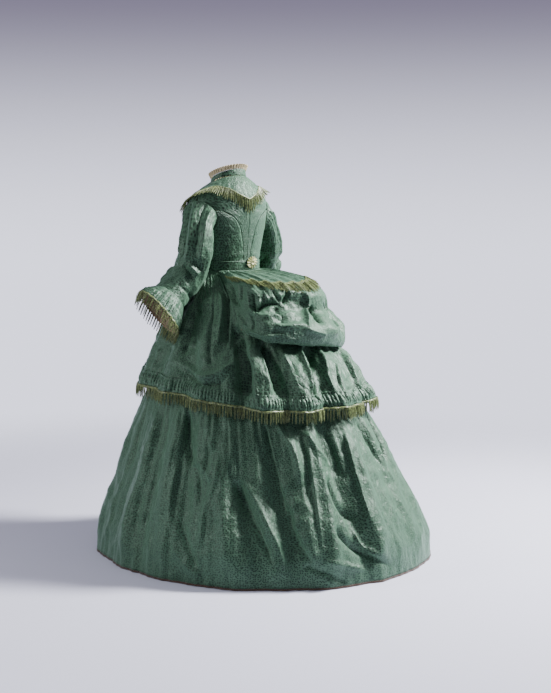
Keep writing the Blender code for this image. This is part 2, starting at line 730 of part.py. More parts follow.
def sleeve_ring(stations, angle, share, grow):
    """Points round the arm: 0 degrees is the outer side and 90 degrees the front."""
    middle, outward, forward, _ = sleeve_frame(stations, share)
    turned = np.radians(angle)
    out_size = smooth(stations, "outward", share) + grow
    fore_size = smooth(stations, "fore", share) + grow
    return (
        middle
        + outward * (out_size * np.cos(turned))[..., None]
        + forward * (fore_size * np.sin(turned))[..., None]
    )


def sleeve_surface(stations):
    def surface(angle, share):
        turned = np.radians(angle)
        half_angle = np.where(np.sin(turned) > 0, ARMHOLE_FRONT, ARMHOLE_BACK)
        round_angle = 90 + half_angle * np.sin(turned)
        round_height = ARMHOLE_HEIGHT + ARMHOLE_HALF_HEIGHT * np.cos(turned)
        seat = CLOTH + 2 * LAYER_GAP
        head = torso(round_angle, round_height) + normals(torso, round_angle, round_height) * seat
        free = ease((1 - share) / SLEEVE_HEAD_SHARE)[..., None]
        points = head * (1 - free) + sleeve_ring(stations, angle, np.minimum(share, 0.99), 0.0) * free
        clear = seat + 0.004 * ease((1 - share) / 0.2)
        return kept_outside(points, torso, TORSO, clear)

    return surface


def cuff_surface(stations, wave_depth):
    """The cuff: share falls from 1 at the sleeve's end to 0 at its mouth."""

    def surface(angle, share):
        end = np.full_like(angle, 0.02)
        ring = sleeve_ring(stations, angle, end, 0.0)
        middle, _, _, down = sleeve_frame(stations, end)
        run = np.clip(1 - share, 0, None)
        length = CUFF_LENGTH + CUFF_TILT * np.cos(np.radians(angle - CUFF_TILT_ANGLE))
        wave = wave_depth * (0.5 - 0.5 * np.cos(np.radians(angle * CUFF_WAVES))) * ease(run / 0.5)
        grown = SEAM_GAP + CLOTH + CUFF_FLARE * run**0.8 + wave
        sag = stack(0, 0, -CUFF_SAG * run**2)
        return ring + down * (length * run)[..., None] + unit(ring - middle) * grown[..., None] + sag

    return surface


def build_sleeves():
    for side, stations in (("left", SLEEVE_LEFT), ("right", SLEEVE_RIGHT)):
        mirror = side == "right"
        shares = [1.0, 0.94, 0.86, 0.74, 0.58, 0.42, 0.28, 0.14, 0.0]
        turn = full_turn(SLEEVE_COLUMNS)
        cloth(f"sleeve_{side}", sleeve_surface(stations), turn, shares, closed=True, mirror=mirror)
        cuff = cuff_surface(stations, CUFF_WAVE)
        turn = full_turn(2 * CUFF_WAVES)
        cloth(f"cuff_{side}", cuff, turn, [0.995, 0.55, 0.0], closed=True, mirror=mirror)
        build_cuff_fringe(side, stations)


def build_cuff_fringe(side, stations):
    """The fringe sewn round the cuff's mouth, over the crests of its waves."""
    pitch = 360 / CUFF_WAVES
    middles = (np.arange(CUFF_WAVES) + 0.5) * pitch
    tops = middles - 0.5 * pitch
    lows = np.stack([middles - 0.32 * pitch, middles + 0.32 * pitch], axis=1).ravel()
    strip_share = 0.14
    cuff = cuff_surface(stations, 0.0)
    lift = CUFF_WAVE + LAYER_GAP + CUFF_FRINGE_SEAT
    out = normals(cuff, lows, np.zeros_like(lows))
    top_out = normals(cuff, tops, np.full_like(tops, strip_share))
    strip_top = cuff(tops, np.full_like(tops, strip_share)) + top_out * lift
    strip_low = cuff(lows, np.zeros_like(lows)) + out * lift
    roots = (strip_low[::2] + strip_low[1::2]) / 2
    _, _, _, down = sleeve_frame(stations, np.full_like(middles, 0.02))
    hang = unit(down * CUFF_FRINGE_ALONG_ARM + CUFF_FRINGE_FALL)
    tips = roots + hang * FRINGE_LENGTH
    mirror = side == "right"
    fringe(f"cuff_fringe_{side}", strip_top, strip_low, out, tips, closed=True, mirror=mirror)


def build_waist():
    belt_lift = 0.0028
    cloth("belt", torso, full_turn(32), [BELT_HIGH, BELT_LOW], lift=belt_lift, thick=0.0016, closed=True)
    build_rosette(belt_lift)
    build_buttons()


def build_rosette(belt_lift):
    """A pleated ribbon rosette on the belt, a little right of the centre back."""
    place = np.array(-9.0)
    height = np.array(0.0125)
    centre = torso(place, height)
    out = normals(torso, place, height)
    across = unit(np.cross(np.array([0.0, 0.0, 1.0]), out))
    up = np.cross(out, across)
    pleats = 9
    turned = np.radians(full_turn(2 * pleats))[None, :]
    reach = np.array([0.009, 0.018, 0.026])[:, None]
    wave = 0.0025 * np.cos(turned * pleats) * reach / 0.026
    rise = belt_lift + LAYER_GAP + 0.0046 + wave + 0.05 * (0.026 - reach)
    flat = across * np.cos(turned)[..., None] + up * np.sin(turned)[..., None] * 0.82
    outer = (centre + flat * reach[..., None] + out * rise[..., None])[:, ::-1]
    wall("belt_rosette", outer, outer - out * 0.0014, RIBBON, 0.5, closed=True)
    knot_rings = [(0.0050, 0.0088), (0.0082, 0.0062), (0.0082, 0.0034), (0.0055, 0.0026)]
    base = centre + out * belt_lift
    points = [base + flat[0, k] * size + out * rise for size, rise in knot_rings for k in range(0, 18, 2)]
    count = len(points) // len(knot_rings)
    faces = [tuple(reversed(range(count))), tuple(range(len(points) - count, len(points)))]
    for ring in range(len(knot_rings) - 1):
        for k in range(count):
            a = ring * count + k
            b = ring * count + (k + 1) % count
            faces.append((a, b, b + count, a + count))
    faces = [tuple(reversed(face)) for face in faces]
    add_object("rosette_knot", points, faces, RIBBON, 0.5)


def closing_point(height):
    """A point on the straight edges that make the centre-front closing."""
    rows = np.array(PANEL_ROWS)
    low = rows[rows <= height].max()
    high = rows[rows > height].min()
    share = (height - low) / (high - low)
    angle = np.array(180.0)
    return torso(angle, np.array(low)) * (1 - share) + torso(angle, np.array(high)) * share


def build_buttons():
    """Small covered buttons down the centre front."""
    first_height = 0.035
    pitch = 0.036
    sides = 6
    rings = [(0.0060, 0.0), (0.0060, 0.0018), (0.0034, 0.0034)]
    turned = np.radians(full_turn(sides))
    for number in range(7):
        height = first_height + pitch * number
        out = normals(torso, np.array(180.0), np.array(height))
        centre = closing_point(height) + out * 0.0009
        across = unit(np.cross(np.array([0.0, 0.0, 1.0]), out))
        up = np.cross(out, across)
        points = []
        for size, rise in rings:
            for turn in turned:
                points.append(centre + (across * np.cos(turn) + up * np.sin(turn)) * size + out * rise)
        faces = [tuple(reversed(range(sides))), tuple(range(2 * sides, 3 * sides))]
        for ring in range(2):
            for k in range(sides):
                a = ring * sides + k
                b = ring * sides + (k + 1) % sides
                faces.append((a, b, b + sides, a + sides))
        add_object(f"button_{number + 1}", points, faces, SILK, 0.4)


def build_skirts():
    hem = -WAIST_HEIGHT + BRAID_HEIGHT + SEAM_GAP
    turn = full_turn(SKIRT_COLUMNS)
    rows = [SKIRT_TOP, -0.025, -0.14, -0.32, -0.50, -0.63, -0.76, -0.89, hem]
    cloth("skirt", underskirt, turn, rows, closed=True)
    braid = {"colour": BRAID_BROWN, "roughness": 0.8}
    braid_rows = [hem - SEAM_GAP - 0.0002, -WAIST_HEIGHT]
    cloth("hem_braid", underskirt, turn, braid_rows, lift=0.0006, thick=0.0027, closed=True, **braid)
    rows = [SKIRT_TOP, -0.025, -0.085, -0.17, -0.25, -0.33, RUCHING_TOP, OVERSKIRT_HEM]
    across, down = grid(turn, rows)
    down = np.where(down <= RUCHING_TOP, down + hem_rise(across), down)
    cloth("overskirt", overskirt, across, down, closed=True)


def build_ruching():
    """The gathered band on the overskirt's hem, and the fringe under it."""
    hem_band = faceted(overskirt, 360 / SKIRT_COLUMNS, RUCHING_TOP, OVERSKIRT_HEM)
    rows = np.array([RUCHING_TOP - 0.002, -0.436, RUCHING_LOW])
    across, down = grid(full_turn(2 * RUCHING_WAVES), rows)
    puff = np.array([0.001, 0.006, 0.001])[:, None]
    wave = (1 + np.cos(np.radians(across * RUCHING_WAVES))) / 2
    lift = CLOTH + 0.0016 + puff * wave
    cloth("overskirt_ruching", hem_band, across, down, lift=lift, closed=True)

    pitch = 360 / RUCHING_WAVES
    tops = np.arange(RUCHING_WAVES) * pitch
    lows = np.stack([tops, tops + 0.62 * pitch], axis=1).ravel()
    middles = tops + 0.31 * pitch
    lift = 0.0016 + FRINGE_STRIP
    top_height = np.full_like(tops, RUCHING_LOW - LAYER_GAP - 0.0012)
    low_height = np.full_like(lows, OVERSKIRT_HEM - 0.004)
    out = normals(hem_band, lows, low_height)
    strip_top = hem_band(tops, top_height) + normals(hem_band, tops, top_height) * lift
    strip_low = hem_band(lows, low_height) + out * lift
    tip_height = np.full_like(middles, OVERSKIRT_HEM - FRINGE_LENGTH)
    tips = hem_band(middles, tip_height) + normals(hem_band, middles, tip_height) * 0.007
    fringe("overskirt_fringe", strip_top, strip_low, out, tips, closed=True)


def build_bustle():
    across, down = grid(np.linspace(-1, 1, POUF_COLUMNS + 1), [row.share for row in POUF])
    cloth("bustle_pouf", pouf, across, down)
    build_peplum()


def peplum_level(across, share):
    """Share 1 is the waist and 0 the peplum's lower edge, longest at the centre back."""
    reach = 0.29 * (1 - 0.35 * across**2)
    return PEPLUM_TOP - reach * (1 - share)


def peplum(across, share):
    reach = across * PEPLUM_REACH
    return pouf(reach, peplum_level(across, share))


def build_peplum():
    columns = 2 * PEPLUM_STRANDS
    sides = np.linspace(-1, 1, columns + 1)
    across, down = grid(sides, [1.0, 0.5, 0.0])
    pleat = (1 + np.cos(np.pi * across * PEPLUM_PLEATS)) / 2
    seat = seat_lift(peplum, across, down)
    lift = PEPLUM_LIFT + seat + PEPLUM_PLEAT * pleat * ease((1 - down) / 0.5)
    cloth("peplum", peplum, across, down, lift=lift)

    sides = sides[::2]
    pitch = sides[1] - sides[0]
    lows = np.stack([sides[:-1] + 0.15 * pitch, sides[:-1] + 0.85 * pitch], axis=1).ravel()
    middles = (sides[:-1] + sides[1:]) / 2
    strip = 0.10
    rise = PEPLUM_LIFT + PEPLUM_PLEAT + seat[-1].max() + 0.0019
    out = normals(peplum, lows, np.zeros_like(lows))
    strip_top = peplum(sides, np.full_like(sides, strip))
    strip_top = strip_top + normals(peplum, sides, np.full_like(sides, strip)) * rise
    strip_low = peplum(lows, np.zeros_like(lows)) + out * rise
    tip_share = np.full_like(middles, -0.30)
    tips = peplum(middles, tip_share) + normals(peplum, middles, tip_share) * 0.012
    fringe("peplum_fringe", strip_top, strip_low, out, tips, closed=False)


def main():
    for old in list(bpy.data.objects):
        bpy.data.objects.remove(old)
    build_bodice()
    build_neck()
    build_bertha()
    build_sleeves()
    build_waist()
    build_skirts()
    build_ruching()
    build_bustle()


main()
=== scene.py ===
"""A woman's silk taffeta day gown of about 1868 to 1870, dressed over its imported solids.

The sections follow the gown as it is put together, from the skirt outwards. Metres, +Z up,
the wearer faces -Y. Angles run round the body from the centre back, 90 on her left.
"""

from collections import namedtuple

import bpy
import numpy as np
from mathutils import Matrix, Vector, noise


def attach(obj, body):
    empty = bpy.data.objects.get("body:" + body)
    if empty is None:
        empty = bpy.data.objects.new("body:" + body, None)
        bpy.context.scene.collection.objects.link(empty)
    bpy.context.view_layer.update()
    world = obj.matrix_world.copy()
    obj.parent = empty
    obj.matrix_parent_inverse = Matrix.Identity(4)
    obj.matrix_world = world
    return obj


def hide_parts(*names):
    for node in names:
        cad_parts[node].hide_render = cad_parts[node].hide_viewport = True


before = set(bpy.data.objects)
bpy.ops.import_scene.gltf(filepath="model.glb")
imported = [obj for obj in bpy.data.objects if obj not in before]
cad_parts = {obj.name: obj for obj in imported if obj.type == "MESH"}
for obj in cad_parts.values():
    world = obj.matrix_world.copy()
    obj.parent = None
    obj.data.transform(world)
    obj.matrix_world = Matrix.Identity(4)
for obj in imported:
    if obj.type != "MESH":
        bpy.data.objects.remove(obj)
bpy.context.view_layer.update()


# Camera: a long lens at the height of the bodice, to the left of the gown's back.
camera_data = bpy.data.cameras.new("camera")
camera_data.sensor_width = 36.0
camera_data.lens = 77.1129
camera = bpy.data.objects.new("camera", camera_data)
camera.location = (3.63581, 4.03798, 0.30703)
looks_at = Vector((-0.10174, 0.14060, -0.29757))
camera.rotation_euler = (looks_at - camera.location).to_track_quat("-Z", "Y").to_euler()
bpy.context.scene.collection.objects.link(camera)
bpy.context.scene.camera = camera


# Floor: a pale painted studio floor, which fades into the pale backdrop behind it. The
# hem rests on it.
def linear(hex_colour):
    """The linear numbers that a shader takes for an sRGB hex colour."""
    shares = [int(hex_colour[place : place + 2], 16) / 255 for place in (1, 3, 5)]
    return [s / 12.92 if s <= 0.04045 else ((s + 0.055) / 1.055) ** 2.4 for s in shares] + [1.0]


def new_material(name):
    material = bpy.data.materials.new(name)
    material.use_nodes = True
    material.node_tree.nodes.clear()
    return material


def add_node(material, kind, values=None, links=None, **settings):
    """Adds a node, with its options, the values of its sockets and the links into them."""
    node = material.node_tree.nodes.new(kind)
    for option, value in settings.items():
        setattr(node, option, value)
    for socket, value in (values or {}).items():
        node.inputs[socket].default_value = value
    for socket, source in (links or {}).items():
        material.node_tree.links.new(source, node.inputs[socket])
    return node


def ramp(material, value, low, high, way="SMOOTHSTEP"):
    """A share that rises from 0 where the value is low to 1 where it is high."""
    ends = {"From Min": low, "From Max": high}
    link = {"Value": value}
    ranged = add_node(material, "ShaderNodeMapRange", ends, link, interpolation_type=way)
    return ranged.outputs["Result"]


WAIST_HEIGHT = 1.02
FLOOR_GAP = 0.0005
FLOOR_REACH = 3.6

floor_paint = new_material("matt emulsion paint, rolled")
place = add_node(floor_paint, "ShaderNodeTexCoord")
from_middle = {0: place.outputs["Object"]}
reach = add_node(floor_paint, "ShaderNodeVectorMath", links=from_middle, operation="LENGTH")
fade = ramp(floor_paint, reach.outputs["Value"], 1.3, 3.4)
paint_look = {"Base Color": linear("#D9DAEC"), "Roughness": 0.75}
paint = add_node(floor_paint, "ShaderNodeBsdfPrincipled", paint_look)
clear = add_node(floor_paint, "ShaderNodeBsdfTransparent")
faded = {0: fade, 1: paint.outputs[0], 2: clear.outputs[0]}
mixed = add_node(floor_paint, "ShaderNodeMixShader", links=faded)
add_node(floor_paint, "ShaderNodeOutputMaterial", links={"Surface": mixed.outputs[0]})
floor_middle = (0, 0, -WAIST_HEIGHT - FLOOR_GAP)
bpy.ops.mesh.primitive_circle_add(
    vertices=96, radius=FLOOR_REACH, fill_type="NGON", location=floor_middle
)
floor = bpy.context.object
floor.name = "floor"
floor.data.materials.append(floor_paint)


# Light: one strong lamp high behind the gown's right side, a weaker one in front of its
# left, one overhead, and a grey room whose pale backdrop is brighter low down than above.
def blend(material, share, first, second):
    """A mix of two colours, each one a hex colour or another node's output."""
    values, links = {}, {"Factor": share}
    for socket, colour in (("A", first), ("B", second)):
        if isinstance(colour, str):
            values[socket] = linear(colour)
        else:
            links[socket] = colour
    mix = add_node(material, "ShaderNodeMix", values, links, data_type="RGBA")
    return mix.outputs["Result"]


Lamp = namedtuple("Lamp", "name x y z size watts")
lit_place = Vector((0, 0.15, -0.45))
for lamp in (
    Lamp("right_softbox", -2.26, 1.73, 2.20, 0.7, 530),
    Lamp("left_fill", 3.10, -1.10, 1.00, 0.7, 50),
    Lamp("overhead", 0.00, 0.60, 2.60, 2.0, 14),
):
    light = bpy.data.lights.new(lamp.name, "AREA")
    light.size = lamp.size
    light.energy = lamp.watts
    holder = bpy.data.objects.new(lamp.name, light)
    holder.location = (lamp.x, lamp.y, lamp.z)
    holder.rotation_euler = (lit_place - holder.location).to_track_quat("-Z", "Y").to_euler()
    bpy.context.scene.collection.objects.link(holder)
room = bpy.data.worlds.new("pale_room")
room.use_nodes = True
room_way = add_node(room, "ShaderNodeTexCoord").outputs["Generated"]
room_height = add_node(room, "ShaderNodeSeparateXYZ", links={0: room_way})
room_share = ramp(room, room_height.outputs["Z"], -0.06, 0.13)
backdrop_colour = blend(room, room_share, "#E9EBFF", "#625D70")
backdrop_way = {1: (-0.69, -0.72, 0.0)}
room_side = add_node(
    room, "ShaderNodeVectorMath", backdrop_way, {0: room_way}, operation="DOT_PRODUCT"
)
room_backdrop = ramp(room, room_side.outputs["Value"], 0.2, 0.85, "LINEAR")
room_colour = blend(room, room_backdrop, "#5B5A64", backdrop_colour)
room_light = room.node_tree.nodes["Background"]
room_light.inputs["Strength"].default_value = 1.9
room.node_tree.links.new(room_colour, room_light.inputs["Color"])
bpy.context.scene.world = room


# Skirt: a tube of green figured silk taffeta, trained behind and gathered into the waist.
# It is lined with glazed cotton, and its hem facing is stitched through 0.21 m up.
CLOTH_THICK = 0.0008
BELT_LOW = -0.015
BELT_HIGH = 0.019
LAYER_GAP = 0.0005
SKIRT_TOP = BELT_LOW - LAYER_GAP
OVERSKIRT_HEM = -0.468
SHOWS_BELOW = -0.44
BRAID_HEIGHT = 0.007
FACING_LINE = -0.81
HEM_STEADY_TOP = -0.86
HEM_STEADY_SPAN = 0.15
HEM_STEADY = 0.55

RING_COLUMNS = "height half_width front back middle squareness tilt"
Ring = namedtuple("Ring", RING_COLUMNS, defaults=(0.0, 2.0, 0.0))
UNDERSKIRT = [
    Ring(-0.015, 0.1187, 0.0945, 0.0985),
    Ring(-0.025, 0.1195, 0.0955, 0.0995),
    Ring(-0.08, 0.158, 0.130, 0.190, 0.022),
    Ring(-0.20, 0.232, 0.185, 0.320, 0.055),
    Ring(-0.35, 0.305, 0.245, 0.450, 0.085),
    Ring(-0.50, 0.381, 0.303, 0.552, 0.122),
    Ring(-0.60, 0.427, 0.340, 0.618, 0.140),
    Ring(-0.72, 0.475, 0.376, 0.686, 0.154),
    Ring(-0.85, 0.525, 0.416, 0.758, 0.168, 2.08),
    Ring(-0.94, 0.555, 0.437, 0.792, 0.180, 2.08),
    Ring(-1.03, 0.563, 0.447, 0.798, 0.186, 2.08),
]
Fold = namedtuple("Fold", "angle_top angle_low top low half_width_top half_width_low depth")
UNDERSKIRT_FOLDS = [
    Fold(-60, -60, -0.46, -1.20, 0.035, 0.050, 0.019),
    Fold(-45, -47, -0.46, -0.98, 0.030, 0.045, -0.014),
    Fold(-32, -35, -0.44, -1.20, 0.035, 0.055, 0.010),
    Fold(-15, -15, -0.46, -1.00, 0.032, 0.045, -0.010),
    Fold(-1, 5, -0.46, -1.20, 0.028, 0.045, 0.022),
    Fold(14, 10, -0.48, -1.05, 0.024, 0.040, -0.024),
    Fold(20, 23, -0.50, -1.20, 0.024, 0.040, 0.023),
    Fold(30, 30, -0.46, -1.00, 0.026, 0.036, 0.016),
    Fold(42, 35, -0.50, -1.10, 0.026, 0.042, -0.027),
    Fold(55, 41, -0.62, -1.20, 0.028, 0.045, -0.022),
    Fold(62, 55, -0.50, -1.20, 0.035, 0.050, 0.019),
    Fold(77, 75, -0.45, -0.85, 0.022, 0.036, -0.019),
    Fold(85, 83, -0.44, -1.20, 0.028, 0.045, 0.016),
    Fold(92, 92, -0.44, -1.05, 0.026, 0.038, -0.016),
    Fold(100, 100, -0.44, -1.20, 0.028, 0.045, 0.016),
    Fold(110, 110, -0.46, -1.10, 0.030, 0.045, -0.016),
    Fold(125, 125, -0.46, -1.20, 0.035, 0.050, 0.016),
    Fold(140, 140, -0.46, -1.10, 0.035, 0.050, -0.016),
    Fold(158, 158, -0.46, -1.20, 0.035, 0.055, 0.016),
    Fold(-75, -76, -0.46, -1.05, 0.030, 0.045, -0.020),
    Fold(-92, -93, -0.46, -1.20, 0.030, 0.050, 0.018),
    Fold(-108, -108, -0.46, -1.10, 0.030, 0.045, -0.016),
    Fold(-125, -125, -0.46, -1.20, 0.035, 0.050, 0.016),
    Fold(-142, -142, -0.46, -1.10, 0.035, 0.050, -0.016),
    Fold(-160, -160, -0.46, -1.20, 0.035, 0.055, 0.016),
]

# A crease bends from a towards b and on to c. Lean widens its leftward side at the cost of
# the other. The first three are troughs that go on under the overskirt's deepest ones.
CREASE_COLUMNS = "across_a down_a across_b down_b across_c down_c half_width depth lean"
Crease = namedtuple("Crease", CREASE_COLUMNS, defaults=(0.0,))
SKIRT_CREASES = [
    Crease(50.5, -0.16, 47.2, -0.31, 51.0, -0.48, 0.034, -0.036),
    Crease(31.5, -0.20, 35.0, -0.32, 30.5, -0.48, 0.022, -0.024),
    Crease(-2.0, -0.26, 10.8, -0.36, 14.5, -0.48, 0.022, -0.026),
    Crease(117.5, -0.486, 118.8, -0.622, 117.0, -0.738, 0.007, 0.007),
    Crease(108.0, -0.484, 113.0, -0.627, 102.0, -0.702, 0.007, 0.007),
    Crease(100.5, -0.469, 97.0, -0.618, 97.5, -0.666, 0.007, 0.007),
    Crease(91.5, -0.462, 94.0, -0.584, 90.5, -0.722, 0.009, 0.008),
    Crease(85.0, -0.476, 82.2, -0.564, 84.5, -0.700, 0.007, 0.007),
    Crease(114.0, -0.481, 114.8, -0.618, 112.5, -0.731, 0.007, -0.006),
    Crease(95.0, -0.462, 95.0, -0.600, 95.0, -0.690, 0.007, -0.006),
    Crease(79.5, -0.634, 83.2, -0.741, 78.0, -0.887, 0.008, 0.009),
    Crease(78.0, -0.887, 75.2, -0.959, 65.5, -0.993, 0.012, 0.008),
    Crease(118.5, -0.787, 115.8, -0.853, 114.0, -0.937, 0.006, 0.006),
    Crease(100.5, -0.753, 100.0, -0.836, 99.5, -0.908, 0.006, 0.007),
    Crease(92.0, -0.726, 87.5, -0.823, 87.0, -0.979, 0.010, 0.009),
    Crease(97.5, -0.722, 96.0, -0.859, 92.5, -0.981, 0.012, -0.008),
    Crease(80.0, -0.474, 78.5, -0.571, 75.0, -0.668, 0.010, -0.022),
    Crease(74.5, -0.644, 67.2, -0.677, 69.0, -0.802, 0.014, -0.014),
    Crease(76.5, -0.811, 73.2, -0.895, 67.0, -0.974, 0.014, -0.014),
    Crease(71.5, -0.627, 66.8, -0.662, 63.0, -0.692, 0.008, 0.010),
    Crease(61.5, -0.600, 61.5, -0.688, 65.5, -0.765, 0.008, 0.009),
    Crease(65.0, -0.741, 68.0, -0.808, 67.0, -0.899, 0.009, 0.012),
    Crease(57.5, -0.476, 55.5, -0.550, 57.5, -0.668, 0.006, 0.010),
    Crease(55.0, -0.549, 56.2, -0.605, 54.5, -0.680, 0.006, 0.007),
    Crease(66.5, -0.472, 68.5, -0.552, 64.5, -0.593, 0.010, 0.008),
    Crease(55.0, -0.680, 53.0, -0.760, 41.0, -0.967, 0.018, -0.026, -0.3),
    Crease(51.5, -0.678, 46.5, -0.748, 37.5, -0.974, 0.012, 0.014, -0.3),
    Crease(40.5, -0.498, 39.5, -0.592, 36.5, -0.836, 0.010, -0.018),
    Crease(39.5, -0.513, 37.5, -0.617, 37.5, -0.731, 0.006, 0.008),
    Crease(35.0, -0.755, 38.5, -0.844, 28.0, -0.957, 0.018, -0.018),
    Crease(36.0, -0.510, 29.0, -0.539, 30.0, -0.705, 0.012, 0.016, -0.3),
    Crease(21.5, -0.527, 24.0, -0.615, 26.5, -0.925, 0.020, 0.016, -0.2),
    Crease(21.0, -0.527, 23.0, -0.592, 11.0, -0.661, 0.009, 0.012),
    Crease(12.0, -0.520, 9.2, -0.614, 11.5, -0.692, 0.012, -0.016),
    Crease(17.5, -0.673, 20.0, -0.765, 8.5, -0.828, 0.011, -0.020),
    Crease(1.0, -0.537, 5.0, -0.633, 5.0, -0.870, 0.013, 0.016, -0.4),
    Crease(19.0, -0.819, 20.0, -0.880, -3.0, -0.986, 0.012, -0.020),
    Crease(12.0, -0.840, 11.2, -0.914, 3.5, -0.935, 0.010, 0.012),
    Crease(-31.0, -0.508, -28.5, -0.555, -24.0, -0.695, 0.010, -0.018),
    Crease(-14.0, -0.518, -15.5, -0.598, -19.0, -0.697, 0.008, -0.012),
    Crease(-21.0, -0.510, -18.2, -0.582, -22.5, -0.688, 0.008, 0.010),
    Crease(33.5, -0.937, 27.0, -0.950, 16.5, -1.010, 0.012, -0.012),
    Crease(25.5, -0.925, 21.8, -0.935, 7.0, -0.984, 0.010, 0.010),
    Crease(131, -0.50, 133, -0.75, 132, -0.97, 0.012, -0.014, 0.3),
    Crease(149, -0.52, 150, -0.72, 148, -0.94, 0.013, -0.012),
    Crease(168, -0.50, 170, -0.70, 172, -0.90, 0.013, 0.014),
    Crease(-54, -0.52, -52, -0.70, -53, -0.88, 0.012, -0.014, 0.3),
    Crease(-67, -0.52, -68, -0.74, -66, -0.95, 0.012, 0.014),
    Crease(-83, -0.50, -84, -0.70, -86, -0.92, 0.011, -0.012),
    Crease(-100, -0.50, -101, -0.72, -99, -0.93, 0.012, 0.012, -0.3),
    Crease(-116, -0.52, -117, -0.70, -118, -0.88, 0.012, -0.012),
    Crease(-134, -0.50, -133, -0.74, -134, -0.96, 0.013, 0.014),
    Crease(-151, -0.50, -150, -0.70, -152, -0.90, 0.012, -0.012),
    Crease(-172, -0.50, -173, -0.72, -171, -0.94, 0.013, -0.012, 0.3),
]


def smooth(table, column, at):
    """A table's column as a smooth curve over its first column, with no overshoot."""
    rows = sorted(table)
    xs = np.array([row[0] for row in rows], float)
    ys = np.array([getattr(row, column) for row in rows], float)
    steps = np.diff(ys) / np.diff(xs)
    before = steps[:-1]
    after = steps[1:]
    same_way = before * after > 0
    inner = np.where(same_way, 2 * before * after / np.where(same_way, before + after, 1), 0)
    slopes = np.concatenate([steps[:1], inner, steps[-1:]])
    at = np.clip(np.asarray(at, float), xs[0], xs[-1])
    low = np.clip(np.searchsorted(xs, at, side="right") - 1, 0, len(xs) - 2)
    span = xs[low + 1] - xs[low]
    t = (at - xs[low]) / span
    start = ys[low] * (2 * t**3 - 3 * t**2 + 1) + slopes[low] * span * (t**3 - 2 * t**2 + t)
    end = ys[low + 1] * (3 * t**2 - 2 * t**3) + slopes[low + 1] * span * (t**3 - t**2)
    return start + end


def ease(value):
    """0 below 0, 1 above 1, and smooth between."""
    share = np.clip(value, 0, 1)
    return share * share * (3 - 2 * share)


def stack(x, y, z):
    return np.stack(np.broadcast_arrays(x, y, z), axis=-1)


def unit(vectors):
    return vectors / np.maximum(np.linalg.norm(vectors, axis=-1, keepdims=True), 1e-12)


def ring_sizes(table, height):
    return [smooth(table, column, height) for column in RING_COLUMNS.split()[1:]]


def ring_point(table, angle, height):
    """A form's plain surface. A tilted ring dips towards the front."""
    half_width, front, back, middle, squareness, tilt = ring_sizes(table, height)
    side = np.sin(np.radians(angle))
    rear = np.cos(np.radians(angle))
    depth = np.where(rear > 0, back - middle, front + middle)
    x = half_width * np.sign(side) * np.abs(side) ** (2 / squareness)
    y = middle + depth * np.sign(rear) * np.abs(rear) ** (2 / squareness)
    return stack(x, y, height - tilt * (1 - rear) / 2)


def fold_relief(folds, angle, height, x, y):
    """How far the largest folds stand out of a skirt's plain form, or sink into it."""
    reach = np.hypot(x, y)
    total = np.zeros(np.broadcast(angle, height).shape)
    for fold in folds:
        fallen = (fold.top - height) / (fold.top - fold.low)
        lean = ease(fallen)
        middle = fold.angle_top + (fold.angle_low - fold.angle_top) * lean
        half_width = fold.half_width_top + (fold.half_width_low - fold.half_width_top) * lean
        apart = (angle - middle + 180) % 360 - 180
        across = np.radians(apart) * reach / half_width
        length = ease(fallen / 0.25) * ease((1 - fallen) / 0.2)
        total += fold.depth * np.exp(-(across**2)) * length
    return total


def skirt_form(table, folds, angle, height, share=1.0):
    """An oval for each height, moved out or in by a share of its folds."""
    plain = ring_point(table, angle, height)
    axis = smooth(table, "middle", height)
    away = plain[..., 1] - axis
    relief = share * fold_relief(folds, angle, height, plain[..., 0], away)
    grown = 1 + relief / np.hypot(plain[..., 0], away)
    return stack(plain[..., 0] * grown, axis + away * grown, height)


def grid(across, levels):
    """Two arrays, a row for each level from the top down and a column for each place across."""
    return np.meshgrid(np.asarray(across, float), np.asarray(levels, float))


def full_turn(columns):
    return np.arange(columns) * 360 / columns


def back_turn(columns, crowding=0.42):
    """Places round the body, closest together left of the back, where the creases are finest."""
    turned = full_turn(columns)
    return turned - np.degrees(crowding * np.sin(np.radians(turned - 30)))


def slopes_of(points, across, down, closed):
    """Metres moved for each unit across and down, and the outward direction, at each point."""
    if closed:
        points = np.concatenate([points[:, -1:], points, points[:, :1]], axis=1)
        across = np.concatenate([across[:, -1:] - 360, across, across[:, :1] + 360], axis=1)
        down = np.concatenate([down[:, -1:], down, down[:, :1]], axis=1)
    along = np.gradient(points, axis=1)
    fall = np.gradient(points, axis=0)
    out = unit(np.cross(along, fall))
    turn = np.maximum(np.abs(np.gradient(across, axis=1)), 1e-9)
    step = np.maximum(np.abs(np.gradient(down, axis=0)), 1e-9)
    wide = np.linalg.norm(along, axis=-1) / turn
    tall = np.linalg.norm(fall, axis=-1) / step
    if closed:
        return wide[:, 1:-1], tall[:, 1:-1], out[:, 1:-1]
    return wide, tall, out


def bend(start, middle, end, t):
    """A curve from start to end, drawn towards middle."""
    return start * (1 - t) ** 2 + 2 * middle * t * (1 - t) + end * t**2


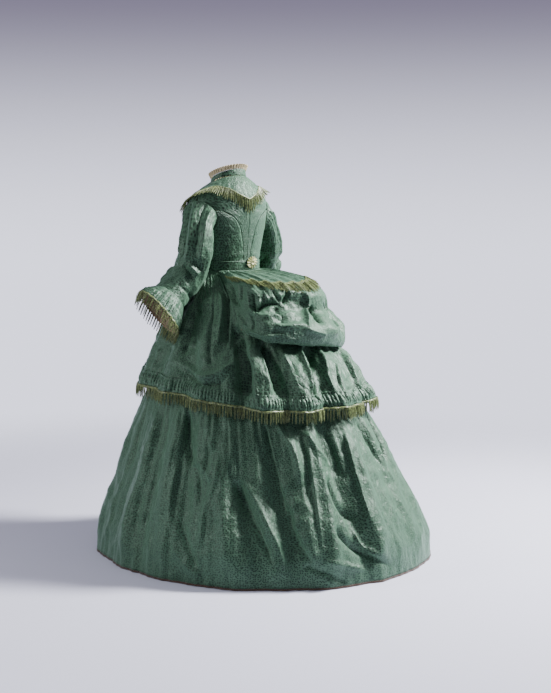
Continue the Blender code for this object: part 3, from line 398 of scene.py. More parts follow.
def crease_relief(creases, across, down, wide, tall, closed):
    """The height of the listed creases: crisp along the middle, and less at both sides."""
    pieces = 8
    t = np.linspace(0, 1, pieces + 1)
    total = np.zeros(across.shape)
    for crease in creases:
        path_x = bend(crease.across_a, crease.across_b, crease.across_c, t)
        path_y = bend(crease.down_a, crease.down_b, crease.down_c, t)
        nearest = np.full(across.shape, 1e9)
        signed = np.zeros(across.shape)
        along = np.zeros(across.shape)
        for k in range(pieces):
            from_x = path_x[k] - across
            if closed:
                from_x = (from_x + 180) % 360 - 180
            from_x = from_x * wide
            from_y = (path_y[k] - down) * tall
            run_x = (path_x[k + 1] - path_x[k]) * wide
            run_y = (path_y[k + 1] - path_y[k]) * tall
            length = np.maximum(run_x**2 + run_y**2, 1e-12)
            share = np.clip(-(from_x * run_x + from_y * run_y) / length, 0, 1)
            gap = np.hypot(from_x + run_x * share, from_y + run_y * share)
            closer = gap < nearest
            nearest = np.where(closer, gap, nearest)
            signed = np.where(closer, -(from_x + run_x * share), signed)
            along = np.where(closer, (k + share) / pieces, along)
        half_width = crease.half_width * (1 + crease.lean * np.sign(signed))
        apart = np.hypot(nearest / half_width, 0.25) - 0.25
        total += crease.depth * np.exp(-1.6 * apart) * ease(along / 0.2) * ease((1 - along) / 0.25)
    return total


def crumple(points, size, seed):
    """Crisp dents between flat facets, about size apart and half that, from -1 to 1."""
    flat = points.reshape(-1, 3) / np.asarray(size) + seed * 7.3
    large = np.array([1 - 3.2 * abs(noise.noise(point)) for point in flat.tolist()])
    small = np.array([1 - 3.2 * abs(noise.noise(point)) for point in (2.3 * flat + 5.1).tolist()])
    return np.clip(0.65 * large + 0.35 * small, -1, 1).reshape(points.shape[:-1])


def dress(points, across, down, creases=(), closed=False, crush=0.0, size=0.05, seed=1, extra=0.0):
    """A cloth's points with its creases, its fine crumpling and any other relief, and the
    outward direction at each."""
    wide, tall, out = slopes_of(points, across, down, closed)
    relief = crease_relief(creases, across, down, wide, tall, closed) + extra
    relief = relief + crush * crumple(points, size, seed)
    made = points + out * relief[..., None]
    return made, slopes_of(made, across, down, closed)[2]


def make_piece(name, points, faces, materials, places=None):
    mesh = bpy.data.meshes.new(name)
    mesh.from_pydata(np.asarray(points).reshape(-1, 3).tolist(), [], np.asarray(faces).tolist())
    for material in materials:
        mesh.materials.append(material)
    mesh.shade_smooth()
    if places is not None:
        mesh.uv_layers.new(name="cloth")
        mesh.uv_layers["cloth"].uv.foreach_set("vector", np.asarray(places, float).ravel())
    made = bpy.data.objects.new(name, mesh)
    bpy.context.scene.collection.objects.link(made)
    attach(made, "root")
    return made


RIGHTWARD = np.array([-1.0, 1.0, 1.0])


def on_side(points, side):
    """A left piece's grid, or for the right its mirror image, with the same face outwards."""
    return points[:, ::-1] * RIGHTWARD if side == "right" else points


def cloth_piece(name, points, flat, materials, closed=False, thick=CLOTH_THICK):
    """A cloth wall on a grid of points, mapped in metres of the flat cloth it was cut from."""
    rows, columns = points.shape[:2]
    last = columns if closed else columns - 1
    row, column = np.meshgrid(np.arange(rows - 1), np.arange(last), indexing="ij")
    a = row * columns + column
    b = row * columns + (column + 1) % columns
    faces = np.stack([a, b, b + columns, a + columns], axis=-1).reshape(-1, 4)
    joined = np.concatenate([points, points[:, :1]], axis=1) if closed else points
    steps = np.linalg.norm(np.diff(joined, axis=1), axis=-1).mean(axis=0)
    shares = np.concatenate([[0.0], np.cumsum(steps) / steps.sum()])
    left, right = shares[column], shares[column + 1]
    u = np.stack([left, right, right, left], axis=-1) * flat[0]
    v = -np.stack([row, row, row + 1, row + 1], axis=-1) / (rows - 1) * flat[1]
    places = np.stack([u, v], axis=-1).reshape(-1, 2)
    made = make_piece(name, points, faces, materials, places)
    if thick:
        wall = made.modifiers.new("wall", "SOLIDIFY")
        wall.thickness = thick
        wall.offset = -1
        wall.material_offset = len(materials) - 1
    return made


def bump(material, height, strength, distance, under=None):
    links = {"Height": height} if under is None else {"Height": height, "Normal": under}
    values = {"Strength": strength, "Distance": distance}
    return add_node(material, "ShaderNodeBump", values, links).outputs["Normal"]


def waves(material, way, pitch, distortion, direction):
    """Fine parallel ridges, a pitch apart on the cloth's own map, because those of a wave
    texture lie about 0.32 / Scale apart."""
    values = {"Scale": 1 / (pitch * 3.14), "Distortion": distortion}
    ridges = add_node(
        material, "ShaderNodeTexWave", values, {"Vector": way}, bands_direction=direction
    )
    return ridges.outputs["Fac"]


def stretched_noise(material, way, scale, **values):
    """Noise on the cloth's own map, its cells 1 / scale long in each direction."""
    stretched = add_node(material, "ShaderNodeMapping", {"Scale": scale}, {"Vector": way})
    link = {"Vector": stretched.outputs["Vector"]}
    kind = "ShaderNodeTexNoise"
    noise_node = add_node(material, kind, {"Scale": 1.0, **values}, link, noise_dimensions="2D")
    return noise_node.outputs["Fac"]


def surface(material, values, links):
    """Gives the material a Principled surface with these values and links."""
    shader = add_node(material, "ShaderNodeBsdfPrincipled", values, links)
    add_node(material, "ShaderNodeOutputMaterial", links={"Surface": shader.outputs[0]})


# Silk taffeta, plain woven with a small figure: crisp, with a sharp sheen and fine ribs across it.
# Where the cloth curves away from the view its colour turns minty and lighter: partly the shot
# silk's changeable hue, partly painted sheen.
taffeta = new_material("silk taffeta, figured, woven")
silk_map = add_node(taffeta, "ShaderNodeUVMap", uv_map="cloth").outputs["UV"]
sprig_pitch = 0.0095
sprigs = add_node(
    taffeta,
    "ShaderNodeTexVoronoi",
    {"Scale": 1 / sprig_pitch, "Randomness": 0.75},
    {"Vector": silk_map},
    voronoi_dimensions="2D",
)
sprig_edge = ramp(taffeta, sprigs.outputs["Distance"], 0.12, 0.46)
slubs = stretched_noise(taffeta, silk_map, (18.0, 240.0, 1.0), Detail=3.0, Roughness=0.6)
ground = blend(taffeta, slubs, "#192D20", "#4F735A")
figured = blend(taffeta, sprig_edge, "#060D08", ground)
# Painted sheen: the colour is mixed towards a lighter mint where the surface faces away from the
# view.
rim = add_node(taffeta, "ShaderNodeLayerWeight", {"Blend": 0.35})
shot_hue_and_painted_sheen = blend(taffeta, rim.outputs["Facing"], figured, "#587C64")
ribs = waves(taffeta, silk_map, 0.0016, 1.5, "Y")
rumples = stretched_noise(
    taffeta, silk_map, (70.0, 44.0, 1.0), Detail=4.0, Roughness=0.55, Distortion=0.6
)
rib_bump = bump(taffeta, ribs, 0.25, 0.0002)
rumple_bump = bump(taffeta, rumples, 0.95, 0.0036, rib_bump)
silk_look = {
    "Roughness": 0.45,
    "IOR": 1.54,
    "Specular Tint": linear("#C2DACC"),
    "Sheen Weight": 0.12,
    "Sheen Roughness": 0.4,
    "Sheen Tint": linear("#B2D0BE"),
}
surface(taffeta, silk_look, {"Base Color": shot_hue_and_painted_sheen, "Normal": rumple_bump})

# Glazed cotton lining, plain woven and pressed: a dull brown with a faint polish.
lining = new_material("polished cotton, plain woven and glazed")
lining_place = {"Vector": add_node(lining, "ShaderNodeTexCoord").outputs["Object"]}
threads = {"Scale": 900.0, "Detail": 2.0}
lining_threads = add_node(lining, "ShaderNodeTexNoise", threads, lining_place).outputs["Fac"]
lining_colour = blend(lining, lining_threads, "#6B5A45", "#8A775D")
lining_bump = bump(lining, lining_threads, 0.3, 0.0003)
lining_look = {"Roughness": 0.5, "IOR": 1.5}
surface(lining, lining_look, {"Base Color": lining_colour, "Normal": lining_bump})


def underskirt(angle, height):
    steadied = 1 - HEM_STEADY * ease((HEM_STEADY_TOP - height) / HEM_STEADY_SPAN)
    return skirt_form(UNDERSKIRT, UNDERSKIRT_FOLDS, angle, height, steadied)


def gathers(angle, counts, seed):
    """Uneven little pleats round the body, from -1 to 1. Counts are waves in a full turn."""
    rng = np.random.default_rng(seed)
    total = np.zeros(np.shape(angle))
    for count in counts:
        total = total + np.cos(np.radians(angle * count) + rng.uniform(0, 6.28))
    return total / len(counts)


def skirt_cloth(across, down):
    """The skirt's points and outward directions: folds, creases, the facing's stitch line with
    its puckers, and small hanging folds that fade downwards, least on the left."""
    plain = underskirt(across, down)
    facing = np.exp(-(((down - FACING_LINE) / 0.0035) ** 2))
    pucker = np.exp(-(((down - FACING_LINE) / 0.02) ** 2)) * gathers(across, (97, 131, 151), 4)
    leftward = np.exp(-(((across - 95) / 42) ** 2))
    fades = 0.75 - 0.55 * leftward
    hang = ease((SHOWS_BELOW - down) / 0.04) * (1 - fades * ease((-0.50 - down) / 0.28))
    fine = gathers(across, (61, 83, 112), 3) * hang * (0.0028 + 0.0026 * leftward)
    extra = -0.0016 * facing + 0.0009 * pucker + fine
    return dress(plain, across, down, SKIRT_CREASES, True, 0.0042, (0.075, 0.075, 0.11), 1, extra)


# Under the overskirt the rows are sparser.
skirt_hem = -WAIST_HEIGHT + BRAID_HEIGHT
hidden_rows = np.linspace(SKIRT_TOP, SHOWS_BELOW, 14)[:-1]
rows = np.concatenate([hidden_rows, np.linspace(SHOWS_BELOW, skirt_hem, 84)])
skirt_columns = 430
skirt_points, _ = skirt_cloth(*grid(back_turn(skirt_columns), rows))
skirt_flat = (3.85, 1.06)
skirt = cloth_piece("skirt_silk", skirt_points, skirt_flat, (taffeta, lining), closed=True)
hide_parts("skirt")


# Hem braid: a narrow brown wool braid, folded over the skirt's edge and sewn through, to
# take the wear of the floor.
braid_wool = new_material("worsted braid, plaited")
braid_map = add_node(braid_wool, "ShaderNodeUVMap", uv_map="cloth").outputs["UV"]
plaits = waves(braid_wool, braid_map, 0.002, 3.0, "DIAGONAL")
braid_colour = blend(braid_wool, plaits, "#2A1D15", "#5A4231")
braid_bump = bump(braid_wool, plaits, 0.6, 0.0008)
braid_look = {"Roughness": 0.85, "IOR": 1.54, "Sheen Weight": 0.3}
surface(braid_wool, braid_look, {"Base Color": braid_colour, "Normal": braid_bump})

braid_rows = 6
braid_levels = np.linspace(skirt_hem, -WAIST_HEIGHT, braid_rows)
braid_points, braid_out = skirt_cloth(*grid(back_turn(skirt_columns), braid_levels))
bulge = 0.0006 + 0.0009 * np.sin(np.linspace(0.3, 2.6, braid_rows))[:, None]
braid_points = braid_points + braid_out * bulge[..., None]
braid_flat = (3.45, 0.016)
hem_braid = cloth_piece(
    "hem_braid_wool", braid_points, braid_flat, (braid_wool,), closed=True, thick=0.0024
)
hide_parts("hem_braid")


# Overskirt: a shorter tube of the same taffeta over the skirt, gathered at the waist, with
# its hem held by the trimming. It hangs in deep folds at the back.
OVERSKIRT = [
    Ring(-0.015, 0.1212, 0.0970, 0.1012),
    Ring(-0.025, 0.1225, 0.0985, 0.1030),
    Ring(-0.05, 0.150, 0.124, 0.165, 0.018),
    Ring(-0.10, 0.187, 0.155, 0.250, 0.040, 2.1),
    Ring(-0.15, 0.222, 0.184, 0.318, 0.055, 2.2),
    Ring(-0.20, 0.254, 0.210, 0.362, 0.065, 2.2),
    Ring(-0.25, 0.284, 0.238, 0.400, 0.078, 2.2),
    Ring(-0.28, 0.300, 0.253, 0.424, 0.084, 2.2),
    Ring(-0.325, 0.322, 0.274, 0.482, 0.092, 2.2),
    Ring(-0.40, 0.362, 0.305, 0.540, 0.103, 2.1),
    Ring(-0.48, 0.402, 0.330, 0.588, 0.120, 2.1),
]
OVERSKIRT_FOLDS = [
    Fold(60, 61, -0.04, -0.32, 0.020, 0.028, -0.016),
    Fold(52, 51, -0.12, -0.60, 0.022, 0.036, -0.027),
    Fold(40, 41, -0.20, -0.60, 0.024, 0.036, 0.022),
    Fold(30, 30, -0.24, -0.56, 0.020, 0.030, -0.020),
    Fold(18, 22, -0.24, -0.60, 0.028, 0.036, 0.019),
    Fold(2, 12, -0.25, -0.56, 0.020, 0.028, -0.023),
    Fold(-8, 3, -0.25, -0.60, 0.024, 0.032, 0.018),
    Fold(-22, -20, -0.24, -0.56, 0.024, 0.034, -0.019),
    Fold(-36, -35, -0.22, -0.60, 0.026, 0.036, 0.016),
    Fold(-50, -50, -0.10, -0.56, 0.022, 0.034, -0.018),
    Fold(-62, -62, -0.06, -0.60, 0.022, 0.036, 0.016),
    Fold(-76, -76, -0.04, -0.52, 0.022, 0.034, -0.016),
    Fold(72, 72, -0.04, -0.60, 0.022, 0.036, 0.014),
    Fold(82, 82, -0.04, -0.52, 0.020, 0.032, -0.015),
    Fold(92, 92, -0.04, -0.60, 0.022, 0.034, 0.014),
    Fold(103, 103, -0.04, -0.52, 0.022, 0.034, -0.014),
    Fold(118, 118, -0.04, -0.60, 0.024, 0.038, 0.012),
    Fold(135, 135, -0.04, -0.52, 0.024, 0.038, -0.012),
    Fold(152, 152, -0.04, -0.60, 0.024, 0.040, 0.012),
    Fold(-92, -92, -0.04, -0.60, 0.022, 0.036, 0.014),
    Fold(-108, -108, -0.04, -0.52, 0.022, 0.036, -0.014),
    Fold(-128, -128, -0.04, -0.60, 0.024, 0.040, 0.012),
    Fold(-150, -150, -0.04, -0.52, 0.024, 0.040, -0.012),
]
OVERSKIRT_CREASES = [
    Crease(63.0, -0.085, 65.2, -0.185, 64.5, -0.275, 0.009, 0.014),
    Crease(54.0, -0.060, 61.0, -0.159, 58.5, -0.280, 0.012, -0.022),
    Crease(50.5, -0.185, 47.2, -0.298, 51.0, -0.460, 0.026, -0.040),
    Crease(48.5, -0.208, 57.0, -0.300, 55.0, -0.330, 0.008, 0.010),
    Crease(86.0, -0.343, 68.8, -0.416, 58.5, -0.364, 0.012, -0.014),
    Crease(90.5, -0.312, 69.5, -0.422, 52.5, -0.284, 0.013, 0.014),
    Crease(80.0, -0.100, 76.8, -0.173, 78.5, -0.280, 0.016, 0.015),
    Crease(87.0, -0.100, 85.8, -0.220, 87.5, -0.330, 0.014, -0.014),
    Crease(71.0, -0.100, 68.5, -0.227, 69.0, -0.340, 0.014, -0.014),
    Crease(41.0, -0.240, 43.5, -0.339, 44.0, -0.440, 0.016, 0.016),
    Crease(34.5, -0.257, 39.5, -0.339, 37.5, -0.430, 0.010, 0.008),
    Crease(31.5, -0.225, 35.0, -0.309, 30.5, -0.445, 0.015, -0.032),
    Crease(20.5, -0.262, 23.8, -0.328, 22.0, -0.430, 0.014, 0.010),
    Crease(2.0, -0.253, 14.2, -0.275, 17.5, -0.440, 0.010, 0.022),
    Crease(-2.0, -0.275, 10.8, -0.347, 14.5, -0.455, 0.015, -0.034),
    Crease(-6.5, -0.270, 3.0, -0.360, 1.5, -0.430, 0.012, 0.016),
    Crease(-10.0, -0.303, -2.0, -0.348, -2.0, -0.417, 0.007, -0.009),
    Crease(-32.0, -0.286, -21.2, -0.332, -25.5, -0.413, 0.009, -0.010),
    Crease(-32.5, -0.299, -25.2, -0.363, -25.0, -0.430, 0.009, 0.010),
    Crease(111.0, -0.282, 110.0, -0.338, 111.0, -0.375, 0.010, 0.008),
    Crease(103.0, -0.276, 93.8, -0.310, 101.5, -0.367, 0.009, -0.008),
    Crease(96, -0.06, 97, -0.18, 97, -0.28, 0.010, -0.009),
    Crease(106, -0.05, 105, -0.16, 106, -0.27, 0.010, 0.009),
    Crease(127, -0.04, 126, -0.18, 127, -0.36, 0.010, -0.010),
    Crease(143, -0.04, 144, -0.16, 143, -0.32, 0.010, 0.010),
    Crease(165, -0.04, 166, -0.18, 165, -0.38, 0.010, -0.010),
    Crease(-56, -0.06, -56, -0.20, -57, -0.38, 0.009, -0.010),
    Crease(-69, -0.05, -69, -0.18, -68, -0.34, 0.009, 0.010),
    Crease(-84, -0.04, -84, -0.18, -85, -0.36, 0.009, -0.010, 0.3),
    Crease(-100, -0.04, -100, -0.16, -99, -0.32, 0.009, 0.010),
    Crease(-118, -0.04, -119, -0.18, -118, -0.38, 0.010, -0.010),
    Crease(-138, -0.04, -139, -0.16, -140, -0.32, 0.010, 0.010),
    Crease(-164, -0.04, -163, -0.18, -164, -0.38, 0.010, 0.010),
]

Edge = namedtuple("Edge", "degrees height")
HEM_RISE = [
    Edge(0, 0.0),
    Edge(25, -0.004),
    Edge(45, 0.004),
    Edge(60, 0.016),
    Edge(75, 0.028),
    Edge(90, 0.037),
    Edge(110, 0.042),
    Edge(180, 0.044),
]


def overskirt(angle, height):
    return skirt_form(OVERSKIRT, OVERSKIRT_FOLDS, angle, height)


def hem_rise(angle):
    """How far the hem stands above its height at the back."""
    return smooth(HEM_RISE, "height", np.abs((angle + 180) % 360 - 180))


def overskirt_cloth(across, down):
    """The overskirt's points and outward directions, with its gathers and creases."""
    plain = overskirt(across, down)
    waist = ease((-0.02 - down) / 0.03) * (1 - ease((-0.06 - down) / 0.20))
    hem = ease((-0.36 - down) / 0.06)
    fine = gathers(across, (53, 71, 97), 7) * (0.0042 * waist + 0.0018 * hem)
    crush_size = (0.05, 0.05, 0.08)
    return dress(plain, across, down, OVERSKIRT_CREASES, True, 0.0048, crush_size, 2, fine)


over_rows = np.linspace(SKIRT_TOP, OVERSKIRT_HEM, 80)
over_across, over_down = grid(back_turn(skirt_columns), over_rows)
over_down = over_down + hem_rise(over_across) * ease((-0.25 - over_down) / 0.16)
over_points, _ = overskirt_cloth(over_across, over_down)
over_flat = (3.05, 0.56)
over_piece = cloth_piece("overskirt_silk", over_points, over_flat, (taffeta, lining), closed=True)
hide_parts("overskirt")


# Overskirt trimming: one band of taffeta gathered along both edges into close puffs, and a
# silk fringe sewn under it with a narrow gimp heading.
RUCHING_TOP = -0.412
RUCHING_LOW = -0.4605
RUCHING_PUFFS = 236
COLUMNS_PER_PUFF = 6
RUCHING_ROWS = 11
ruching_levels = np.linspace(RUCHING_TOP, RUCHING_LOW, RUCHING_ROWS)
ruching_across, ruching_down = grid(full_turn(RUCHING_PUFFS * COLUMNS_PER_PUFF), ruching_levels)
ruching_down = ruching_down + hem_rise(ruching_across)
ruching_base, ruching_out = overskirt_cloth(ruching_across, ruching_down)
drift = 1.1 * gathers(ruching_across, (17, 29, 41), 12)
turned = np.radians(ruching_across * RUCHING_PUFFS) + drift
puff = np.abs(np.sin(turned / 2)) ** 0.6
share = np.linspace(0, 1, RUCHING_ROWS)[:, None]
body = ease((share - 0.10) / 0.25) * ease((0.92 - share) / 0.22)
heading = ease((0.12 - share) / 0.12)
uneven = 0.75 + 0.25 * gathers(ruching_across, (23, 37, 53), 13)
rise = 0.0022 + uneven * puff * (0.0088 * body + 0.0040 * heading + 0.0006)
ruching_points = ruching_base + ruching_out * rise[..., None]
ruching_flat = (3.9, 0.056)
ruching = cloth_piece(
    "overskirt_ruching_silk", ruching_points, ruching_flat, (taffeta,), closed=True, thick=0.0006
)
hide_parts("overskirt_ruching")


# Silk floss fringe, twisted into soft ends: olive, its colour mixed at random between a near-black
# painted shade for its depths and a pale painted highlight for its strands.
floss = new_material("silk floss, twisted")
floss_place = add_node(floss, "ShaderNodeTexCoord")
floss_shade = add_node(
    floss,
    "ShaderNodeTexNoise",
    {"Scale": 160.0, "Detail": 3.0, "Roughness": 0.7},
    {"Vector": floss_place.outputs["Object"]},
)
# Painted shade and highlight: noise spreads the floss at random from near black to pale olive.
floss_painted_light_share = ramp(floss, floss_shade.outputs["Fac"], 0.32, 0.68, "LINEAR")
floss_colour = blend(floss, floss_painted_light_share, "#11190E", "#85955C")
floss_look = {
    "Roughness": 0.42,
    "IOR": 1.54,
    "Sheen Weight": 0.3,
    "Sheen Tint": linear("#C8D090"),
}
surface(floss, floss_look, {"Base Color": floss_colour})

FRINGE_LENGTH = 0.042
END_THICK = 0.0013
ENDS_PER_LOCK = 5
LOCK_SPREAD = 0.5


def hanging_ends(name, roots, tips, out, bow, seed):
    """Tapering three-sided ends, in one mesh, each bowed a little off straight."""
    rng = np.random.default_rng(seed)
    count = len(roots)
    run = tips - roots
    side = unit(np.cross(run, out))
    face = unit(np.cross(side, run))
    sideways = rng.normal(0, bow, count)[:, None]
    sway = side * sideways + face * rng.normal(0.3 * bow, bow, count)[:, None]
    rings = 5
    points = []
    for t in np.linspace(0, 1, rings):
        middle = roots + run * t + sway * np.sin(np.pi * t)
        radius = END_THICK * (1 - 0.6 * t**2)
        for turn in (90, 210, 330):
            radial = side * np.cos(np.radians(turn)) + face * np.sin(np.radians(turn))
            points.append(middle + radial * radius)
    points = np.array(points).reshape(rings, 3, count, 3).transpose(2, 0, 1, 3)
    start = np.arange(count)[:, None, None] * rings * 3
    ring = np.arange(rings - 1)[None, :, None] * 3
    corner = np.arange(3)[None, None, :]
    a = start + ring + corner
    b = start + ring + (corner + 1) % 3
    faces = np.stack([a, b, b + 3, a + 3], axis=-1).reshape(-1, 4)
    return make_piece(name, points, faces, (floss,))


def in_locks(places):
    """Places along a heading, drawn together towards the middle of each lock."""
    grouped = places.reshape(-1, ENDS_PER_LOCK)
    middles = grouped.mean(axis=1, keepdims=True)
    return (middles + (grouped - middles) * LOCK_SPREAD).ravel()


def lock_tips(roots, hang, lengths, gather_in, seed):
    """Where each end stops: the ends of one lock draw together towards its middle."""
    rng = np.random.default_rng(seed)
    count = len(roots)
    lock_lengths = np.repeat(rng.uniform(0.82, 1.1, count // ENDS_PER_LOCK), ENDS_PER_LOCK)
    uneven = lock_lengths * rng.uniform(0.9, 1.04, count)
    tips = roots + hang * (lengths * uneven)[:, None]
    for start in range(0, count, ENDS_PER_LOCK):
        lock = slice(start, start + ENDS_PER_LOCK)
        tips[lock] = tips[lock] * (1 - gather_in) + tips[lock].mean(axis=0) * gather_in
    return tips


def fringe(name, roots, hang, lengths, out, gather_in, bow, seed):
    """Locks of floss ends, which hang from their roots and draw together downwards."""
    tips = lock_tips(roots, hang, lengths, gather_in, seed)
    return hanging_ends(f"{name}_floss", roots, tips, out, bow, seed + 1)


def gimp_heading(name, base, out, lift, length, closed=False, thick=0.0010, scallop=1.0):
    """A narrow rounded gimp of floss, sewn along the roots of a fringe."""
    rise = lift + 0.0014 * np.sin(np.linspace(0.4, 2.7, len(base)))[:, None] * scallop
    points = base + out * rise[..., None]
    return cloth_piece(name, points, (length, 0.006), (floss,), closed, thick)


over_locks = 300
end_across = in_locks(full_turn(ENDS_PER_LOCK * over_locks))
root_levels = np.array([-0.4610, -0.4640, -0.4700])
root_across, root_down = grid(end_across, root_levels)
root_points, root_out = overskirt_cloth(root_across, root_down + hem_rise(root_across))
root_out = root_out[1]
end_roots = root_points[1] + root_out * 0.0046
hang = unit(root_out * 0.10 + np.array([0.0, 0.0, -1.0]))
lengths = np.full(len(end_roots), FRINGE_LENGTH)
over_fringe = fringe(
    "overskirt_fringe", end_roots, hang, lengths, root_out, gather_in=0.55, bow=0.0015, seed=21
)
gimp_across, gimp_down = grid(full_turn(900), np.linspace(-0.4602, -0.4662, 4))
gimp_points, gimp_out = overskirt_cloth(gimp_across, gimp_down + hem_rise(gimp_across))
scallop = np.abs(np.sin(np.radians(gimp_across * 225)))
gimp = gimp_heading(
    "overskirt_fringe_gimp",
    gimp_points,
    gimp_out,
    0.0040,
    3.0,
    closed=True,
    thick=0.0012,
    scallop=0.6 + 0.4 * scallop,
)
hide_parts("overskirt_fringe")


# Bustle drape: one taffeta panel over the bustle, gathered at the waist, caught up in two
# rolls and pleated in at its sides.
PoufRow = namedtuple("PoufRow", "share height half_width back middle")
POUF = [
    PoufRow(1.00, -0.0155, 0.1232, 0.1034, 0.0),
    PoufRow(0.95, -0.0225, 0.1290, 0.1120, 0.003),
    PoufRow(0.88, -0.030, 0.168, 0.190, 0.018),
    PoufRow(0.79, -0.042, 0.206, 0.272, 0.032),
    PoufRow(0.70, -0.062, 0.236, 0.345, 0.044),
    PoufRow(0.60, -0.098, 0.256, 0.390, 0.055),
    PoufRow(0.51, -0.140, 0.266, 0.393, 0.060),
    PoufRow(0.42, -0.166, 0.286, 0.424, 0.065),
    PoufRow(0.29, -0.205, 0.304, 0.458, 0.072),
    PoufRow(0.16, -0.240, 0.308, 0.462, 0.078),
    PoufRow(0.07, -0.262, 0.302, 0.448, 0.080),
    PoufRow(0.00, -0.258, 0.294, 0.428, 0.082),
]
POUF_SQUARENESS = 2.4
POUF_EDGE_TOP = 58.0
POUF_EDGE_LOW = 46.0
POUF_EASE = 17.0
POUF_END_LIFT = 0.14
POUF_SLANT = 0.13
SEAT = 0.0025
Dent = namedtuple("Dent", "angle share half_angle half_share depth")
POUF_DENTS = [
    Dent(30, 0.70, 5, 0.12, -0.012),
    Dent(12, 0.58, 9, 0.05, -0.014),
    Dent(-28, 0.36, 7, 0.10, -0.024),
    Dent(-38, 0.30, 7, 0.12, 0.010),
    Dent(-4, 0.30, 16, 0.10, 0.010),
    Dent(28, 0.22, 6, 0.14, -0.010),
    Dent(-14, 0.80, 5, 0.10, -0.008),
]
POUF_CREASES = [
    Crease(0.775, 0.653, 0.779, 0.532, 0.767, 0.403, 0.006, 0.010),
    Crease(0.742, 0.650, 0.738, 0.572, 0.750, 0.433, 0.007, -0.018),
    Crease(0.683, 0.590, 0.642, 0.555, 0.767, 0.407, 0.006, 0.009),
    Crease(0.792, 0.713, 0.837, 0.632, 0.867, 0.517, 0.008, -0.016),
    Crease(0.758, 0.443, 0.646, 0.587, 0.317, 0.543, 0.009, -0.022),
    Crease(0.317, 0.543, 0.225, 0.597, 0.200, 0.677, 0.008, -0.014),
    Crease(0.392, 0.680, 0.454, 0.613, 0.333, 0.560, 0.006, -0.014),
    Crease(0.575, 0.667, 0.583, 0.603, 0.525, 0.567, 0.008, 0.008),
    Crease(0.025, 0.630, -0.133, 0.598, 0.208, 0.240, 0.010, 0.018),
    Crease(0.225, 0.650, 0.046, 0.638, -0.117, 0.620, 0.006, 0.008),
    Crease(-0.092, 0.550, -0.108, 0.450, -0.025, 0.350, 0.015, -0.024),
    Crease(-0.500, 0.537, -0.700, 0.408, -0.133, 0.193, 0.014, 0.012),
    Crease(-0.380, 0.557, -0.520, 0.533, -0.500, 0.500, 0.006, -0.010),
    Crease(0.158, 0.290, 0.033, 0.272, -0.092, 0.220, 0.008, 0.010),
    Crease(0.970, 0.320, 0.930, 0.297, 0.892, 0.153, 0.007, 0.012),
    Crease(0.817, 0.397, 0.800, 0.327, 0.850, 0.137, 0.006, -0.014),
    Crease(0.692, 0.413, 0.442, 0.430, 0.125, 0.473, 0.012, 0.010),
    Crease(0.940, 0.073, 0.817, 0.198, 0.408, 0.197, 0.006, 0.008),
    Crease(0.90, 0.66, 0.92, 0.54, 0.90, 0.42, 0.008, -0.008),
    Crease(-0.45, 0.46, -0.42, 0.34, -0.30, 0.22, 0.012, -0.009),
    Crease(-0.60, 0.62, -0.62, 0.44, -0.56, 0.24, 0.011, -0.012),
    Crease(0.900, 0.720, 0.940, 0.560, 0.950, 0.420, 0.016, -0.016),
    Crease(0.500, 0.520, 0.300, 0.420, 0.550, 0.330, 0.020, -0.012),
    Crease(0.600, 0.300, 0.350, 0.330, 0.100, 0.330, 0.012, 0.008),
    Crease(0.350, 0.760, 0.150, 0.730, -0.150, 0.740, 0.010, -0.010),
    Crease(-0.75, 0.64, -0.78, 0.46, -0.72, 0.22, 0.011, 0.011),
    Crease(-0.88, 0.60, -0.90, 0.42, -0.86, 0.20, 0.010, -0.010),
]


def kept_clear(points, form, table, gap):
    """The same points, moved out level wherever they are nearer than gap to a form."""
    height = points[..., 2]
    half_width, front, back, middle, squareness, _ = ring_sizes(table, height)
    away = points[..., 1] - middle
    side = points[..., 0] / half_width
    rear = away / np.where(away > 0, back - middle, front + middle)
    side = np.sign(side) * np.abs(side) ** (squareness / 2)
    rear = np.sign(rear) * np.abs(rear) ** (squareness / 2)
    base = form(np.degrees(np.arctan2(side, rear)), height)
    limit = np.hypot(base[..., 0], base[..., 1] - middle) + gap
    grown = np.maximum(limit / np.hypot(points[..., 0], away), 1)
    return stack(points[..., 0] * grown, middle + away * grown, height)


def normals(form, angle, level):
    """Outward directions on a form(angle, level) whose level falls from waist to hem."""
    step = 1e-4
    across = form(angle + step, level) - form(angle - step, level)
    down = form(angle, level - step) - form(angle, level + step)
    return unit(np.cross(across, down))


def pouf_edge(share):
    return POUF_EDGE_LOW + (POUF_EDGE_TOP - POUF_EDGE_LOW) * share


def pouf(across, share):
    """Across runs from -1 at the right edge to 1 at the left one, and share falls from 1 at
    the waist to 0 at the tucked lower edge."""
    angle = across * pouf_edge(share)
    inside = ease((pouf_edge(share) - np.abs(angle)) / POUF_EASE)
    slant = POUF_SLANT * np.clip(angle / POUF_EDGE_LOW, -1, 0.55)
    drop = 1 - POUF_END_LIFT * (1 - inside) - slant * ease((1 - share) / 0.5)
    level = SKIRT_TOP + (smooth(POUF, "height", share) - SKIRT_TOP) * drop
    turned = np.radians(angle)
    middle = smooth(POUF, "middle", share)
    relief = np.zeros(np.shape(angle))
    for dent in POUF_DENTS:
        sideways = (angle - dent.angle) / dent.half_angle
        upwards = (share - dent.share) / dent.half_share
        relief = relief + dent.depth * np.exp(-(sideways**2 + upwards**2))
    power = 2 / POUF_SQUARENESS
    x = (smooth(POUF, "half_width", share) + relief) * np.sign(angle)
    x = x * np.abs(np.sin(turned)) ** power
    y = middle + (smooth(POUF, "back", share) - middle + relief) * np.abs(np.cos(turned)) ** power
    seat = SEAT + 0.004 * ease((1 - share) / 0.1)
    laid = overskirt(angle, level) + seat[..., None] * normals(overskirt, angle, level)
    swell = (inside * ease((1 - share) / 0.08))[..., None]
    full = laid * (1 - swell) + stack(x, y, level) * swell
    return kept_clear(full, overskirt, OVERSKIRT, seat)


def pouf_gathers(across, down):
    """Pleats that fan out from the waist and fade over the bustle."""
    fan = ease((0.97 - down) / 0.05) * (1 - ease((0.86 - down) / 0.30))
    return gathers(across * 50, (41, 57, 73), 31) * 0.0032 * fan


